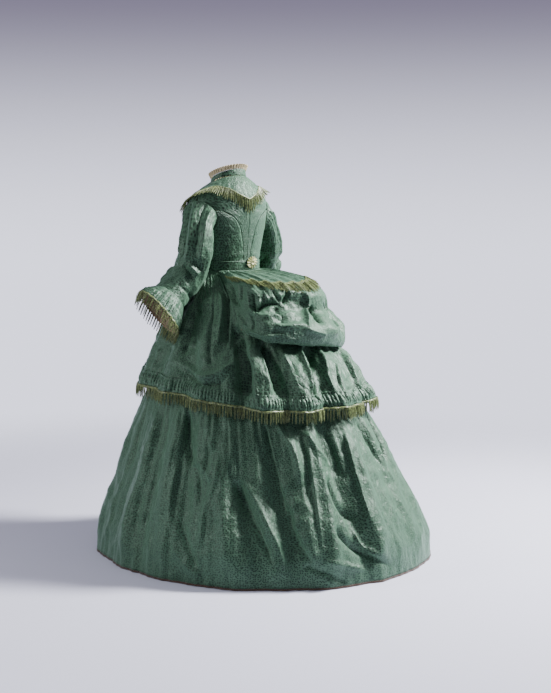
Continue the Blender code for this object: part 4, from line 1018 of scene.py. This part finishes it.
pouf_across, pouf_down = grid(np.linspace(-1, 1, 241), np.linspace(1, 0, 116))
pouf_plain = pouf(pouf_across, pouf_down)
edge_hold = ease((1 - np.abs(pouf_across)) / 0.04)
pouf_points, _ = dress(
    pouf_plain,
    pouf_across,
    pouf_down,
    POUF_CREASES,
    crush=0.0022,
    size=(0.05, 0.05, 0.06),
    seed=5,
    extra=pouf_gathers(pouf_across, pouf_down) + 0.0008,
)
pouf_points = pouf_plain * (1 - edge_hold[..., None]) + pouf_points * edge_hold[..., None]
pouf_flat = (0.66, 0.52)
pouf_piece = cloth_piece("bustle_drape_silk", pouf_points, pouf_flat, (taffeta, lining))
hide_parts("bustle_pouf")


# Peplum: a shaped tail of taffeta below the belt, laid in pleats that fan from the rosette,
# with the same fringe on its lower edge.
PEPLUM_REACH = 0.88
PEPLUM_TOP = 0.995
PEPLUM_PLEATS = 9
PEPLUM_LIFT = 0.0030
PEPLUM_PLEAT = 0.0060
PEPLUM_KNIFE = 0.0025
PEPLUM_LENGTH = 0.29
PEPLUM_TAPER = 0.35


def peplum(across, share):
    """Share 1 is the waist and 0 the lower edge, longest at the centre back."""
    length = PEPLUM_LENGTH * (1 - PEPLUM_TAPER * across**2)
    return pouf(across * PEPLUM_REACH, PEPLUM_TOP - length * (1 - share))


def peplum_cloth(across, down):
    """Broad pleats that open downwards, with narrow knife pleats between them."""
    plain = peplum(across, down)
    pleat = (1 + np.cos(np.pi * across * PEPLUM_PLEATS)) / 2
    knife = (1 + np.cos(np.pi * across * 2 * PEPLUM_PLEATS + 0.8 * np.sin(9 * across))) / 2
    extra = PEPLUM_LIFT + 0.0006 + PEPLUM_PLEAT * pleat * ease((1 - down) / 0.5)
    extra = extra + PEPLUM_KNIFE * knife**2 * ease((1 - down) / 0.2)
    return dress(plain, across, down, (), False, 0.0012, 0.04, 6, extra)


peplum_points, _ = peplum_cloth(*grid(np.linspace(-1, 1, 301), np.linspace(1, 0, 45)))
peplum_flat = (0.60, 0.16)
peplum_piece = cloth_piece("peplum_silk", peplum_points, peplum_flat, (taffeta, lining))
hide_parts("peplum")

end_count = ENDS_PER_LOCK * 84
end_across = in_locks(np.linspace(-0.995, 0.995, end_count))
end_points, end_out = peplum_cloth(*grid(end_across, [0.06, 0.03, 0.0]))
end_out = end_out[1]
end_roots = end_points[1] + end_out * 0.0016
beyond = peplum(end_across, np.full(end_count, -0.30)) + end_out * 0.012
lengths = np.linalg.norm(beyond - end_roots, axis=-1)
peplum_fringe = fringe(
    "peplum_fringe", end_roots, unit(beyond - end_roots), lengths, end_out, 0.5, 0.0015, 23
)
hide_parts("peplum_fringe")
gimp_grid = grid(np.linspace(-0.998, 0.998, 400), np.linspace(0.07, 0.01, 4))
gimp_points, gimp_out = peplum_cloth(*gimp_grid)
peplum_gimp = gimp_heading("peplum_fringe_gimp", gimp_points, gimp_out, 0.0010, 0.8)


# Bodice: two backs, two curved side backs and two fronts, seamed, boned and lined with
# cotton. The seams are pressed open and show as fine grooves.
TORSO = [
    Ring(-0.03, 0.1190, 0.095, 0.0990),
    Ring(0.0, 0.1180, 0.093, 0.0970),
    Ring(0.05, 0.1270, 0.104, 0.0990),
    Ring(0.10, 0.1390, 0.123, 0.1040),
    Ring(0.15, 0.1520, 0.139, 0.1090),
    Ring(0.19, 0.1600, 0.143, 0.1110),
    Ring(0.23, 0.1570, 0.130, 0.1090, tilt=0.004),
    Ring(0.26, 0.1420, 0.112, 0.1010, tilt=0.012),
    Ring(0.28, 0.1220, 0.096, 0.0900, tilt=0.020),
    Ring(0.30, 0.0970, 0.081, 0.0770, tilt=0.028),
    Ring(0.32, 0.0720, 0.066, 0.0620, tilt=0.036),
    Ring(0.34, 0.0580, 0.056, 0.0500, tilt=0.040),
]
NECK_HEIGHT = 0.325
ARMHOLE_HEIGHT = 0.175
ARMHOLE_HALF_HEIGHT = 0.062
ARMHOLE_BACK = 40.0
ARMHOLE_FRONT = 30.0
PANEL_GAP = 0.0005
TORSO_RADIUS = 0.12
SIDE_BACK_TOP = 0.202
Seam = namedtuple("Seam", "height degrees")
SIDE_BACK_SEAM = [
    Seam(-0.02, 7),
    Seam(0.05, 8),
    Seam(0.10, 11),
    Seam(0.14, 15),
    Seam(0.17, 22),
    Seam(0.195, 38),
    Seam(0.215, 57),
]
SIDE_SEAM = [Seam(-0.02, 62), Seam(0.05, 68), Seam(0.09, 77), Seam(0.113, 90)]
LOW_ROWS = [-0.015, 0.015, 0.045, 0.08, 0.1125, 0.121, 0.14, 0.17, 0.20]
PANEL_ROWS = LOW_ROWS + [0.222, 0.2368, 0.26, 0.285, 0.306]


def torso(angle, height):
    return ring_point(TORSO, angle, height)


def armhole_edge(height, half_angle, sign):
    rise = (height - ARMHOLE_HEIGHT) / ARMHOLE_HALF_HEIGHT
    return 90 + sign * half_angle * np.sqrt(np.clip(1 - rise**2, 0, 1))


def centre_back(height):
    return np.zeros_like(height)


def side_back(height):
    return smooth(SIDE_BACK_SEAM, "degrees", height)


def back_edge(height):
    rim = armhole_edge(height, ARMHOLE_BACK, -1)
    return np.where(height < SIDE_BACK_TOP, side_back(height), rim)


def under_edge(height):
    rim = armhole_edge(height, ARMHOLE_BACK, -1)
    return np.where(height < SIDE_SEAM[-1].height, smooth(SIDE_SEAM, "degrees", height), rim)


def front_edge(height):
    rim = armhole_edge(height, ARMHOLE_FRONT, 1)
    return np.where(height < SIDE_SEAM[-1].height, smooth(SIDE_SEAM, "degrees", height), rim)


def centre_front(height):
    return np.full_like(height, 180.0)


def bodice_panel(name, rows, first_edge, last_edge, columns, side, flat, seed):
    """A panel between two seams. Rows are heights where a seam's curve is pinned."""
    heights = np.array(rows)
    edges = [Seam(*pair) for pair in zip(heights, first_edge(heights))]
    ends = [Seam(*pair) for pair in zip(heights, last_edge(heights))]
    fine = np.linspace(heights[-1], heights[0], int((heights[-1] - heights[0]) / 0.0042))
    first = smooth(edges, "degrees", fine)
    last = smooth(ends, "degrees", fine)
    gap = np.degrees(PANEL_GAP / 2 / TORSO_RADIUS)
    share = np.linspace(0, 1, columns + 1)[None, :]
    across = (first + gap)[:, None] * (1 - share) + (last - gap)[:, None] * share
    down = np.repeat(fine[:, None], columns + 1, axis=1)
    plain = torso(across, down)
    seam = -0.0012 * (np.exp(-share * 26) + np.exp(-(1 - share) * 26)) * np.ones_like(across)
    waist = np.exp(-(((down - 0.03) / 0.03) ** 2))
    drag = 0.0010 * waist * np.sin(down / 0.0052 + 2.5 * share + seed)
    crush_size = (0.05, 0.05, 0.022)
    points, _ = dress(plain, across, down, (), False, 0.0007, crush_size, seed, seam + drag)
    node = f"{name}_{side}"
    panel = cloth_piece(f"{node}_silk", on_side(points, side), flat, (taffeta, lining))
    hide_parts(node)


armhole_row = 0.2035
panel_rows = sorted(PANEL_ROWS + [armhole_row, NECK_HEIGHT])
for side in ("left", "right"):
    bodice_panel("bodice_back", panel_rows, centre_back, back_edge, 30, side, (0.135, 0.36), 11)
    bodice_panel("bodice_side_back", LOW_ROWS, side_back, under_edge, 24, side, (0.16, 0.225), 12)
    bodice_panel("bodice_front", panel_rows, front_edge, centre_front, 48, side, (0.31, 0.38), 13)


# Sleeves: one coat-shaped tube each, its seam under the arm, set into a dropped armhole.
# Long folds fall from the shoulder and break at the elbow.
Station = namedtuple("Station", "share x y z outward fore")
SLEEVE_LEFT = [
    Station(1.00, 0.150, 0.004, 0.176, 0.050, 0.062),
    Station(0.86, 0.186, 0.030, 0.132, 0.050, 0.066),
    Station(0.72, 0.192, 0.043, 0.085, 0.050, 0.067),
    Station(0.56, 0.196, 0.038, 0.036, 0.054, 0.066),
    Station(0.42, 0.206, 0.026, -0.008, 0.058, 0.065),
    Station(0.28, 0.232, 0.016, -0.050, 0.058, 0.065),
    Station(0.14, 0.268, 0.010, -0.084, 0.058, 0.064),
    Station(0.00, 0.300, 0.008, -0.112, 0.062, 0.066),
]
SLEEVE_RIGHT = [
    Station(1.00, 0.150, 0.002, 0.176, 0.050, 0.062),
    Station(0.86, 0.184, 0.004, 0.132, 0.050, 0.066),
    Station(0.72, 0.190, -0.008, 0.085, 0.050, 0.067),
    Station(0.56, 0.194, -0.018, 0.036, 0.052, 0.066),
    Station(0.42, 0.200, -0.034, -0.002, 0.054, 0.065),
    Station(0.28, 0.208, -0.068, -0.036, 0.056, 0.065),
    Station(0.14, 0.216, -0.112, -0.064, 0.058, 0.064),
    Station(0.00, 0.223, -0.154, -0.088, 0.062, 0.066),
]
SLEEVE_HEAD_SHARE = 0.34
SLEEVE_CREASES = [
    Crease(20, 0.97, 10, 0.74, 4, 0.48, 0.011, -0.011),
    Crease(350, 0.97, 345, 0.74, 342, 0.46, 0.011, 0.011),
    Crease(325, 0.96, 322, 0.76, 318, 0.56, 0.010, -0.009),
    Crease(300, 0.95, 298, 0.74, 300, 0.52, 0.010, 0.009),
    Crease(40, 0.96, 36, 0.74, 30, 0.54, 0.010, 0.009),
    Crease(320, 0.56, 300, 0.50, 270, 0.47, 0.009, -0.011),
    Crease(330, 0.50, 305, 0.44, 275, 0.40, 0.009, 0.011),
    Crease(345, 0.46, 320, 0.37, 285, 0.34, 0.009, -0.011),
    Crease(60, 0.54, 90, 0.46, 130, 0.44, 0.009, -0.011),
    Crease(55, 0.45, 90, 0.38, 135, 0.37, 0.009, 0.011),
    Crease(10, 0.44, 0, 0.30, 350, 0.12, 0.010, -0.009),
    Crease(35, 0.40, 30, 0.26, 25, 0.08, 0.010, 0.009),
    Crease(315, 0.34, 318, 0.22, 322, 0.06, 0.010, 0.009),
    Crease(160, 0.90, 165, 0.70, 170, 0.50, 0.010, -0.009),
    Crease(200, 0.90, 205, 0.70, 200, 0.50, 0.010, 0.009),
    Crease(230, 0.60, 215, 0.50, 190, 0.44, 0.009, -0.011),
]


def sleeve_path(stations, share):
    return stack(*(smooth(stations, axis, share) for axis in "xyz"))


def sleeve_frame(stations, share):
    """The sleeve's middle, and its directions outwards, forwards and down the arm."""
    step = 0.02
    down = unit(sleeve_path(stations, share - step) - sleeve_path(stations, share + step))
    outward = unit(np.cross(down, np.array([0.0, 1.0, 0.0])))
    return sleeve_path(stations, share), outward, np.cross(down, outward), down


def sleeve_ring(stations, angle, share, grow):
    """Points round the arm: 0 degrees is the outer side and 90 degrees the front."""
    middle, outward, forward, _ = sleeve_frame(stations, share)
    turned = np.radians(angle)
    out_size = smooth(stations, "outward", share) + grow
    fore_size = smooth(stations, "fore", share) + grow
    wide = outward * (out_size * np.cos(turned))[..., None]
    return middle + wide + forward * (fore_size * np.sin(turned))[..., None]


def sleeve_surface(stations, angle, share):
    turned = np.radians(angle)
    half_angle = np.where(np.sin(turned) > 0, ARMHOLE_FRONT, ARMHOLE_BACK)
    round_angle = 90 + half_angle * np.sin(turned)
    round_height = ARMHOLE_HEIGHT + ARMHOLE_HALF_HEIGHT * np.cos(turned)
    head = torso(round_angle, round_height) + normals(torso, round_angle, round_height) * SEAT
    free = ease((1 - share) / SLEEVE_HEAD_SHARE)[..., None]
    points = head * (1 - free) + sleeve_ring(stations, angle, np.minimum(share, 0.99), 0.0) * free
    return kept_clear(points, torso, TORSO, SEAT + 0.004 * ease((1 - share) / 0.2))


CUFF_LENGTH = 0.058
CUFF_TILT = 0.024
CUFF_TILT_ANGLE = -95.0
CUFF_FLARE = 0.028
CUFF_WAVE = 0.0045
CUFF_SAG = 0.010
CUFF_WAVES = 20
CUFF_FRINGE_ALONG_ARM = 0.8
CUFF_FRINGE_FALL = np.array([0.12, 0.0, -0.9])
SEAM_GAP = 0.0004
CLOTH = 0.0015


def cuff_surface(stations, wave_depth, angle, share):
    """Share falls from 1 at the sleeve's end to 0 at the cuff's mouth."""
    end = np.full_like(angle, 0.02)
    ring = sleeve_ring(stations, angle, end, 0.0)
    middle, _, _, down = sleeve_frame(stations, end)
    run = np.clip(1 - share, 0, None)
    length = CUFF_LENGTH + CUFF_TILT * np.cos(np.radians(angle - CUFF_TILT_ANGLE))
    wave = wave_depth * (0.5 - 0.5 * np.cos(np.radians(angle * CUFF_WAVES))) * ease(run / 0.5)
    grown = SEAM_GAP + CLOTH + CUFF_FLARE * run**0.8 + wave
    sag = stack(0, 0, -CUFF_SAG * run**2)
    return ring + down * (length * run)[..., None] + unit(ring - middle) * grown[..., None] + sag


for side, stations in (("left", SLEEVE_LEFT), ("right", SLEEVE_RIGHT)):
    across, down = grid(full_turn(150), np.linspace(1, 0, 96))
    plain = sleeve_surface(stations, across, down)
    near_head = ease((0.98 - down) / 0.06) * ease((down - 0.6) / 0.3)
    head = 0.0012 * gathers(across, (23, 31, 43), 41) * near_head
    grip = ease((1 - down) / 0.05)[..., None]
    crush_size = (0.035, 0.035, 0.05)
    dressed, _ = dress(plain, across, down, SLEEVE_CREASES, True, 0.0026, crush_size, 8, head)
    points = on_side(plain * (1 - grip) + dressed * grip, side)
    sleeve_flat = (0.40, 0.42)
    sleeve = cloth_piece(f"sleeve_{side}_silk", points, sleeve_flat, (taffeta, lining), closed=True)
    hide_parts(f"sleeve_{side}")

    # Cuff: a bell of the same taffeta, gathered into a ruched heading round its mouth,
    # with fringe under it.
    across, down = grid(full_turn(280), np.linspace(0.995, 0, 28))
    plain = cuff_surface(stations, CUFF_WAVE, across, down)
    run = 1 - down
    close = np.abs(np.sin(np.radians(across * 30) + 0.8 * gathers(across, (7, 11), 42)))
    ruche = 0.0034 * close * ease((run - 0.42) / 0.10) * ease((0.98 - run) / 0.10)
    band_line = -0.0012 * np.exp(-(((run - 0.40) / 0.035) ** 2))
    extra = ruche + band_line + 0.0002
    points, _ = dress(plain, across, down, (), True, 0.0012, 0.03, 9, extra)
    cuff_flat = (0.62, 0.075)
    cuff = cloth_piece(
        f"cuff_{side}_silk", on_side(points, side), cuff_flat, (taffeta, lining), closed=True
    )
    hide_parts(f"cuff_{side}")

    end_count = ENDS_PER_LOCK * 56
    angle = in_locks(full_turn(end_count))
    lows = np.zeros(end_count)
    mouth = cuff_surface(stations, CUFF_WAVE, angle, lows + 0.05)
    away = normals(lambda a, s: cuff_surface(stations, 0.0, a, s), angle, lows)
    roots = mouth + away * 0.0042
    _, _, _, arm_down = sleeve_frame(stations, lows + 0.02)
    hang = unit(arm_down * CUFF_FRINGE_ALONG_ARM + CUFF_FRINGE_FALL)
    lengths = np.full(end_count, FRINGE_LENGTH + 0.003)
    if side == "right":
        roots, hang, away = roots * RIGHTWARD, hang * RIGHTWARD, away * RIGHTWARD
    cuff_fringe = fringe(f"cuff_fringe_{side}", roots, hang, lengths, away, 0.5, 0.0018, 25)
    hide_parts(f"cuff_fringe_{side}")
    across, down = grid(full_turn(280), np.linspace(0.10, 0.01, 4))
    base = cuff_surface(stations, CUFF_WAVE, across, down)
    outwards = on_side(slopes_of(base, across, down, True)[2], side)
    cuff_gimp = gimp_heading(
        f"cuff_{side}_gimp", on_side(base, side), outwards, 0.0030, 0.6, closed=True
    )


# Bertha: a shaped collar over the shoulders, pointed behind and long in front, flat on the
# bodice, with fringe on its lower edge.
BERTHA_EDGE = [
    Edge(0, 0.236),
    Edge(14, 0.252),
    Edge(36, 0.276),
    Edge(60, 0.286),
    Edge(90, 0.272),
    Edge(112, 0.246),
    Edge(135, 0.205),
    Edge(155, 0.155),
    Edge(170, 0.112),
]
BERTHA_FRONT = 168.0
BERTHA_TOP = 0.318
BERTHA_LIFT = CLOTH + 0.0018


def bertha_edge(angle):
    return smooth(BERTHA_EDGE, "height", np.abs(angle))


def bertha_point(angle, share):
    low = bertha_edge(angle)
    return torso(angle, low + (BERTHA_TOP - low) * share)


across, down = grid(np.linspace(-BERTHA_FRONT, BERTHA_FRONT, 281), np.linspace(1, 0, 26))
plain = bertha_point(across, down)
fall = 0.0010 * gathers(across, (19, 29, 37), 51) * ease((0.7 - down) / 0.4)
extra = BERTHA_LIFT + 0.0014 + fall
points, _ = dress(plain, across, down, (), False, 0.0009, 0.03, 10, extra)
bertha_flat = (0.98, 0.13)
bertha = cloth_piece("bertha_silk", points, bertha_flat, (taffeta, lining))
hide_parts("bertha")

# Its fringe is longest at the point behind, and held off the sleeves over both arms.
end_count = ENDS_PER_LOCK * 110
angle = in_locks(np.linspace(-BERTHA_FRONT + 0.5, BERTHA_FRONT - 0.5, end_count))
lows = np.zeros(end_count)
away = normals(bertha_point, angle, lows + 0.02)
roots = bertha_point(angle, lows + 0.03) + away * (BERTHA_LIFT + 0.0040)
over_arm = ease((ARMHOLE_BACK + 12 - np.abs(np.abs(angle) - 90)) / 22)
at_point = np.exp(-((angle / 16) ** 2))
tip_height = bertha_edge(angle) - FRINGE_LENGTH * (0.90 - 0.1 * over_arm + 0.30 * at_point)
clearance = (0.006 + 0.020 * over_arm)[:, None]
below = torso(angle, tip_height) + normals(torso, angle, tip_height) * clearance
lengths = np.linalg.norm(below - roots, axis=-1)
bertha_fringe = fringe(
    "bertha_fringe", roots, unit(below - roots), lengths, away, 0.5, 0.0014, 27
)
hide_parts("bertha_fringe")
across, down = grid(np.linspace(-BERTHA_FRONT, BERTHA_FRONT, 500), np.linspace(0.075, 0.0, 4))
base = bertha_point(across, down)
outwards = slopes_of(base, across, down, False)[2]
bertha_gimp = gimp_heading("bertha_gimp", base, outwards, BERTHA_LIFT + 0.0026, 1.2)


# Collar and frill: a stand collar of taffeta cut on the bias, with a gathered strip of
# cream bobbin lace sewn inside its edge.
LEVEL = np.array([1.0, 1.0, 0.0])
UP = np.array([0.0, 0.0, 1.0])


def collar_band(angle, share):
    base = torso(angle, np.full_like(angle, NECK_HEIGHT))
    flare = unit(base * LEVEL)
    rise = 0.0225 * (1 - 0.35 * (1 - np.cos(np.radians(angle))) / 2)
    standing = base + flare * (-0.003 * share[..., None])
    return standing + stack(0, 0, LAYER_GAP + 0.0004 + rise * share)


across, down = grid(full_turn(120), np.linspace(1, 0, 10))
plain = collar_band(across, down)
points, _ = dress(plain, across, down, (), True, 0.0004, 0.02, 14, 0.0006)
collar_flat = (0.36, 0.021)
collar = cloth_piece("collar_silk", points, collar_flat, (taffeta, lining), closed=True)
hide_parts("collar")

lace = new_material("cotton bobbin lace, twisted")
lace_map = add_node(lace, "ShaderNodeUVMap", uv_map="cloth")
mesh_pitch = 0.0022
lace_mesh = add_node(
    lace,
    "ShaderNodeTexVoronoi",
    {"Scale": 1 / mesh_pitch, "Randomness": 0.4},
    {"Vector": lace_map.outputs["UV"]},
    voronoi_dimensions="2D",
    feature="DISTANCE_TO_EDGE",
)
lace_gaps = lace_mesh.outputs["Distance"]
lace_thread = ramp(lace, lace_gaps, 0.05, 0.28, "LINEAR")
lace_colour = blend(lace, lace_thread, "#E6D9B4", "#8E7C56")
lace_bump = bump(lace, lace_gaps, 0.8, 0.0006)
surface(lace, {"Roughness": 0.8, "IOR": 1.5}, {"Base Color": lace_colour, "Normal": lace_bump})

across, down = grid(full_turn(360), np.linspace(1, 0, 10))
top = collar_band(across, np.ones_like(across))
flare = unit(top * LEVEL)
crimp = 0.0030 * np.cos(np.radians(across * 40) + 0.8 * gathers(across, (5, 9), 61))
crimp = crimp * (0.25 + 0.75 * down)
scallop = 0.0012 * np.abs(np.sin(np.radians(across * 60))) * ease((down - 0.7) / 0.3)
spread = 0.0015 + 0.0065 * down + crimp
points = top + flare * spread[..., None] + stack(0, 0, LAYER_GAP + 0.017 * down + scallop)
frill_flat = (0.62, 0.020)
frill = cloth_piece(
    "neck_frill_lace", points, frill_flat, (lace,), closed=True, thick=0.0005
)
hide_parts("neck_frill")


# Belt and rosette: a straight taffeta band round the waist, and a rosette of pale ribbon
# pleated round a wrapped knot, sewn a little right of the centre back.
across, down = grid(full_turn(240), np.linspace(BELT_HIGH, BELT_LOW, 12))
plain = torso(across, down)
roll = np.sin(np.linspace(0.15, np.pi - 0.15, 12))[:, None]
points, _ = dress(plain, across, down, (), True, 0.0003, 0.03, 15, 0.0022 + 0.0008 * roll)
belt_flat = (0.72, 0.035)
belt = cloth_piece("belt_silk", points, belt_flat, (taffeta, lining), closed=True)
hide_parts("belt")

ribbon = new_material("silk ribbon, ribbed weave")
ribbon_map = add_node(ribbon, "ShaderNodeUVMap", uv_map="cloth").outputs["UV"]
ribbon_ribs = waves(ribbon, ribbon_map, 0.0014, 1.0, "Y")
ribbon_colour = blend(ribbon, ribbon_ribs, "#8F9260", "#D3D3A2")
ribbon_bump = bump(ribbon, ribbon_ribs, 0.4, 0.0003)
ribbon_look = {
    "Roughness": 0.4,
    "IOR": 1.54,
    "Sheen Weight": 0.3,
    "Sheen Tint": linear("#F0F0D0"),
}
surface(ribbon, ribbon_look, {"Base Color": ribbon_colour, "Normal": ribbon_bump})


def round_point(centre, across, up, out, turned, reach, rise):
    """Points round an axis that stands on the cloth: reach from it and rise along it."""
    level = across * np.cos(turned)[..., None] + up * np.sin(turned)[..., None]
    return centre + level * reach[..., None] + out * rise[..., None]


BELT_LIFT = 0.0028
rosette_angle = np.array(-9.0)
rosette_height = np.array(0.0125)
rosette_centre = torso(rosette_angle, rosette_height)
rosette_out = normals(torso, rosette_angle, rosette_height)
rosette_across = unit(np.cross(UP, rosette_out))
rosette_up = np.cross(rosette_out, rosette_across)
rosette_reach = 0.026
pleats = 12
turned, reach = grid(np.radians(full_turn(216)), np.linspace(0.006, rosette_reach, 12))
wave = 0.0030 * np.cos(turned * pleats + 0.5 * np.sin(3 * turned)) * reach / rosette_reach
rise = BELT_LIFT + LAYER_GAP + 0.0046 + wave + 0.05 * (rosette_reach - reach)
edge = 1 + 0.05 * np.cos(turned * pleats) * ease((reach - 0.018) / 0.008)
low_up = rosette_up * 0.82
points = round_point(
    rosette_centre, rosette_across, low_up, rosette_out, turned, reach * edge, rise
)
rosette_flat = (0.17, 0.020)
rosette = cloth_piece(
    "rosette_ribbon", points[:, ::-1], rosette_flat, (ribbon,), True, thick=0.0006
)
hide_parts("belt_rosette")
knot_rows = 12
turned, _ = grid(np.radians(full_turn(48)), np.linspace(0, 1, knot_rows))
profile = np.sin(np.linspace(0.05, np.pi / 2, knot_rows))[:, None]
size = 0.0088 * (0.12 + 0.88 * (1 - profile) ** 0.5) * (1 + 0.06 * np.cos(turned * 8))
rise = 0.0104 - 0.0066 * np.linspace(0, 1, knot_rows)[:, None] ** 1.6
knot_up = rosette_up * 0.9
points = round_point(
    rosette_centre, rosette_across, knot_up, rosette_out, turned, size, BELT_LIFT + rise
)
knot = cloth_piece(
    "rosette_knot_ribbon", points[:, ::-1], (0.06, 0.02), (ribbon,), True, thick=0.0
)
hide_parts("rosette_knot")


# Buttons: seven wooden moulds covered in taffeta, sewn down the centre front from above
# the belt to below the collar.
BUTTONS = 7
BUTTON_LOW = 0.035
BUTTON_PITCH = 0.036
BUTTON_SEAT = 0.0009
CENTRE_FRONT = np.array(180.0)


def closing_point(height):
    """A point of the centre front, whose edge runs straight between the panels' rows."""
    rows = np.array(PANEL_ROWS)
    low = rows[rows <= height].max()
    high = rows[rows > height].min()
    share = (height - low) / (high - low)
    below = torso(CENTRE_FRONT, np.array(low))
    above = torso(CENTRE_FRONT, np.array(high))
    return below * (1 - share) + above * share


for number in range(BUTTONS):
    height = np.array(BUTTON_LOW + BUTTON_PITCH * number)
    out = normals(torso, CENTRE_FRONT, height)
    centre = closing_point(float(height)) + out * BUTTON_SEAT
    across = unit(np.cross(UP, out))
    up = np.cross(out, across)
    turned, level = grid(np.radians(full_turn(28)), np.linspace(0, np.pi / 2, 9))
    reach = 0.0060 * np.sin(level) ** 0.8 + 0.0002
    rise = 0.0034 * np.cos(level)
    points = round_point(centre, across, up, out, turned, reach, rise)[:, ::-1]
    name = f"button_{number + 1}_silk"
    button = cloth_piece(name, points, (0.02, 0.01), (taffeta,), closed=True, thick=0.0)
    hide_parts(f"button_{number + 1}")
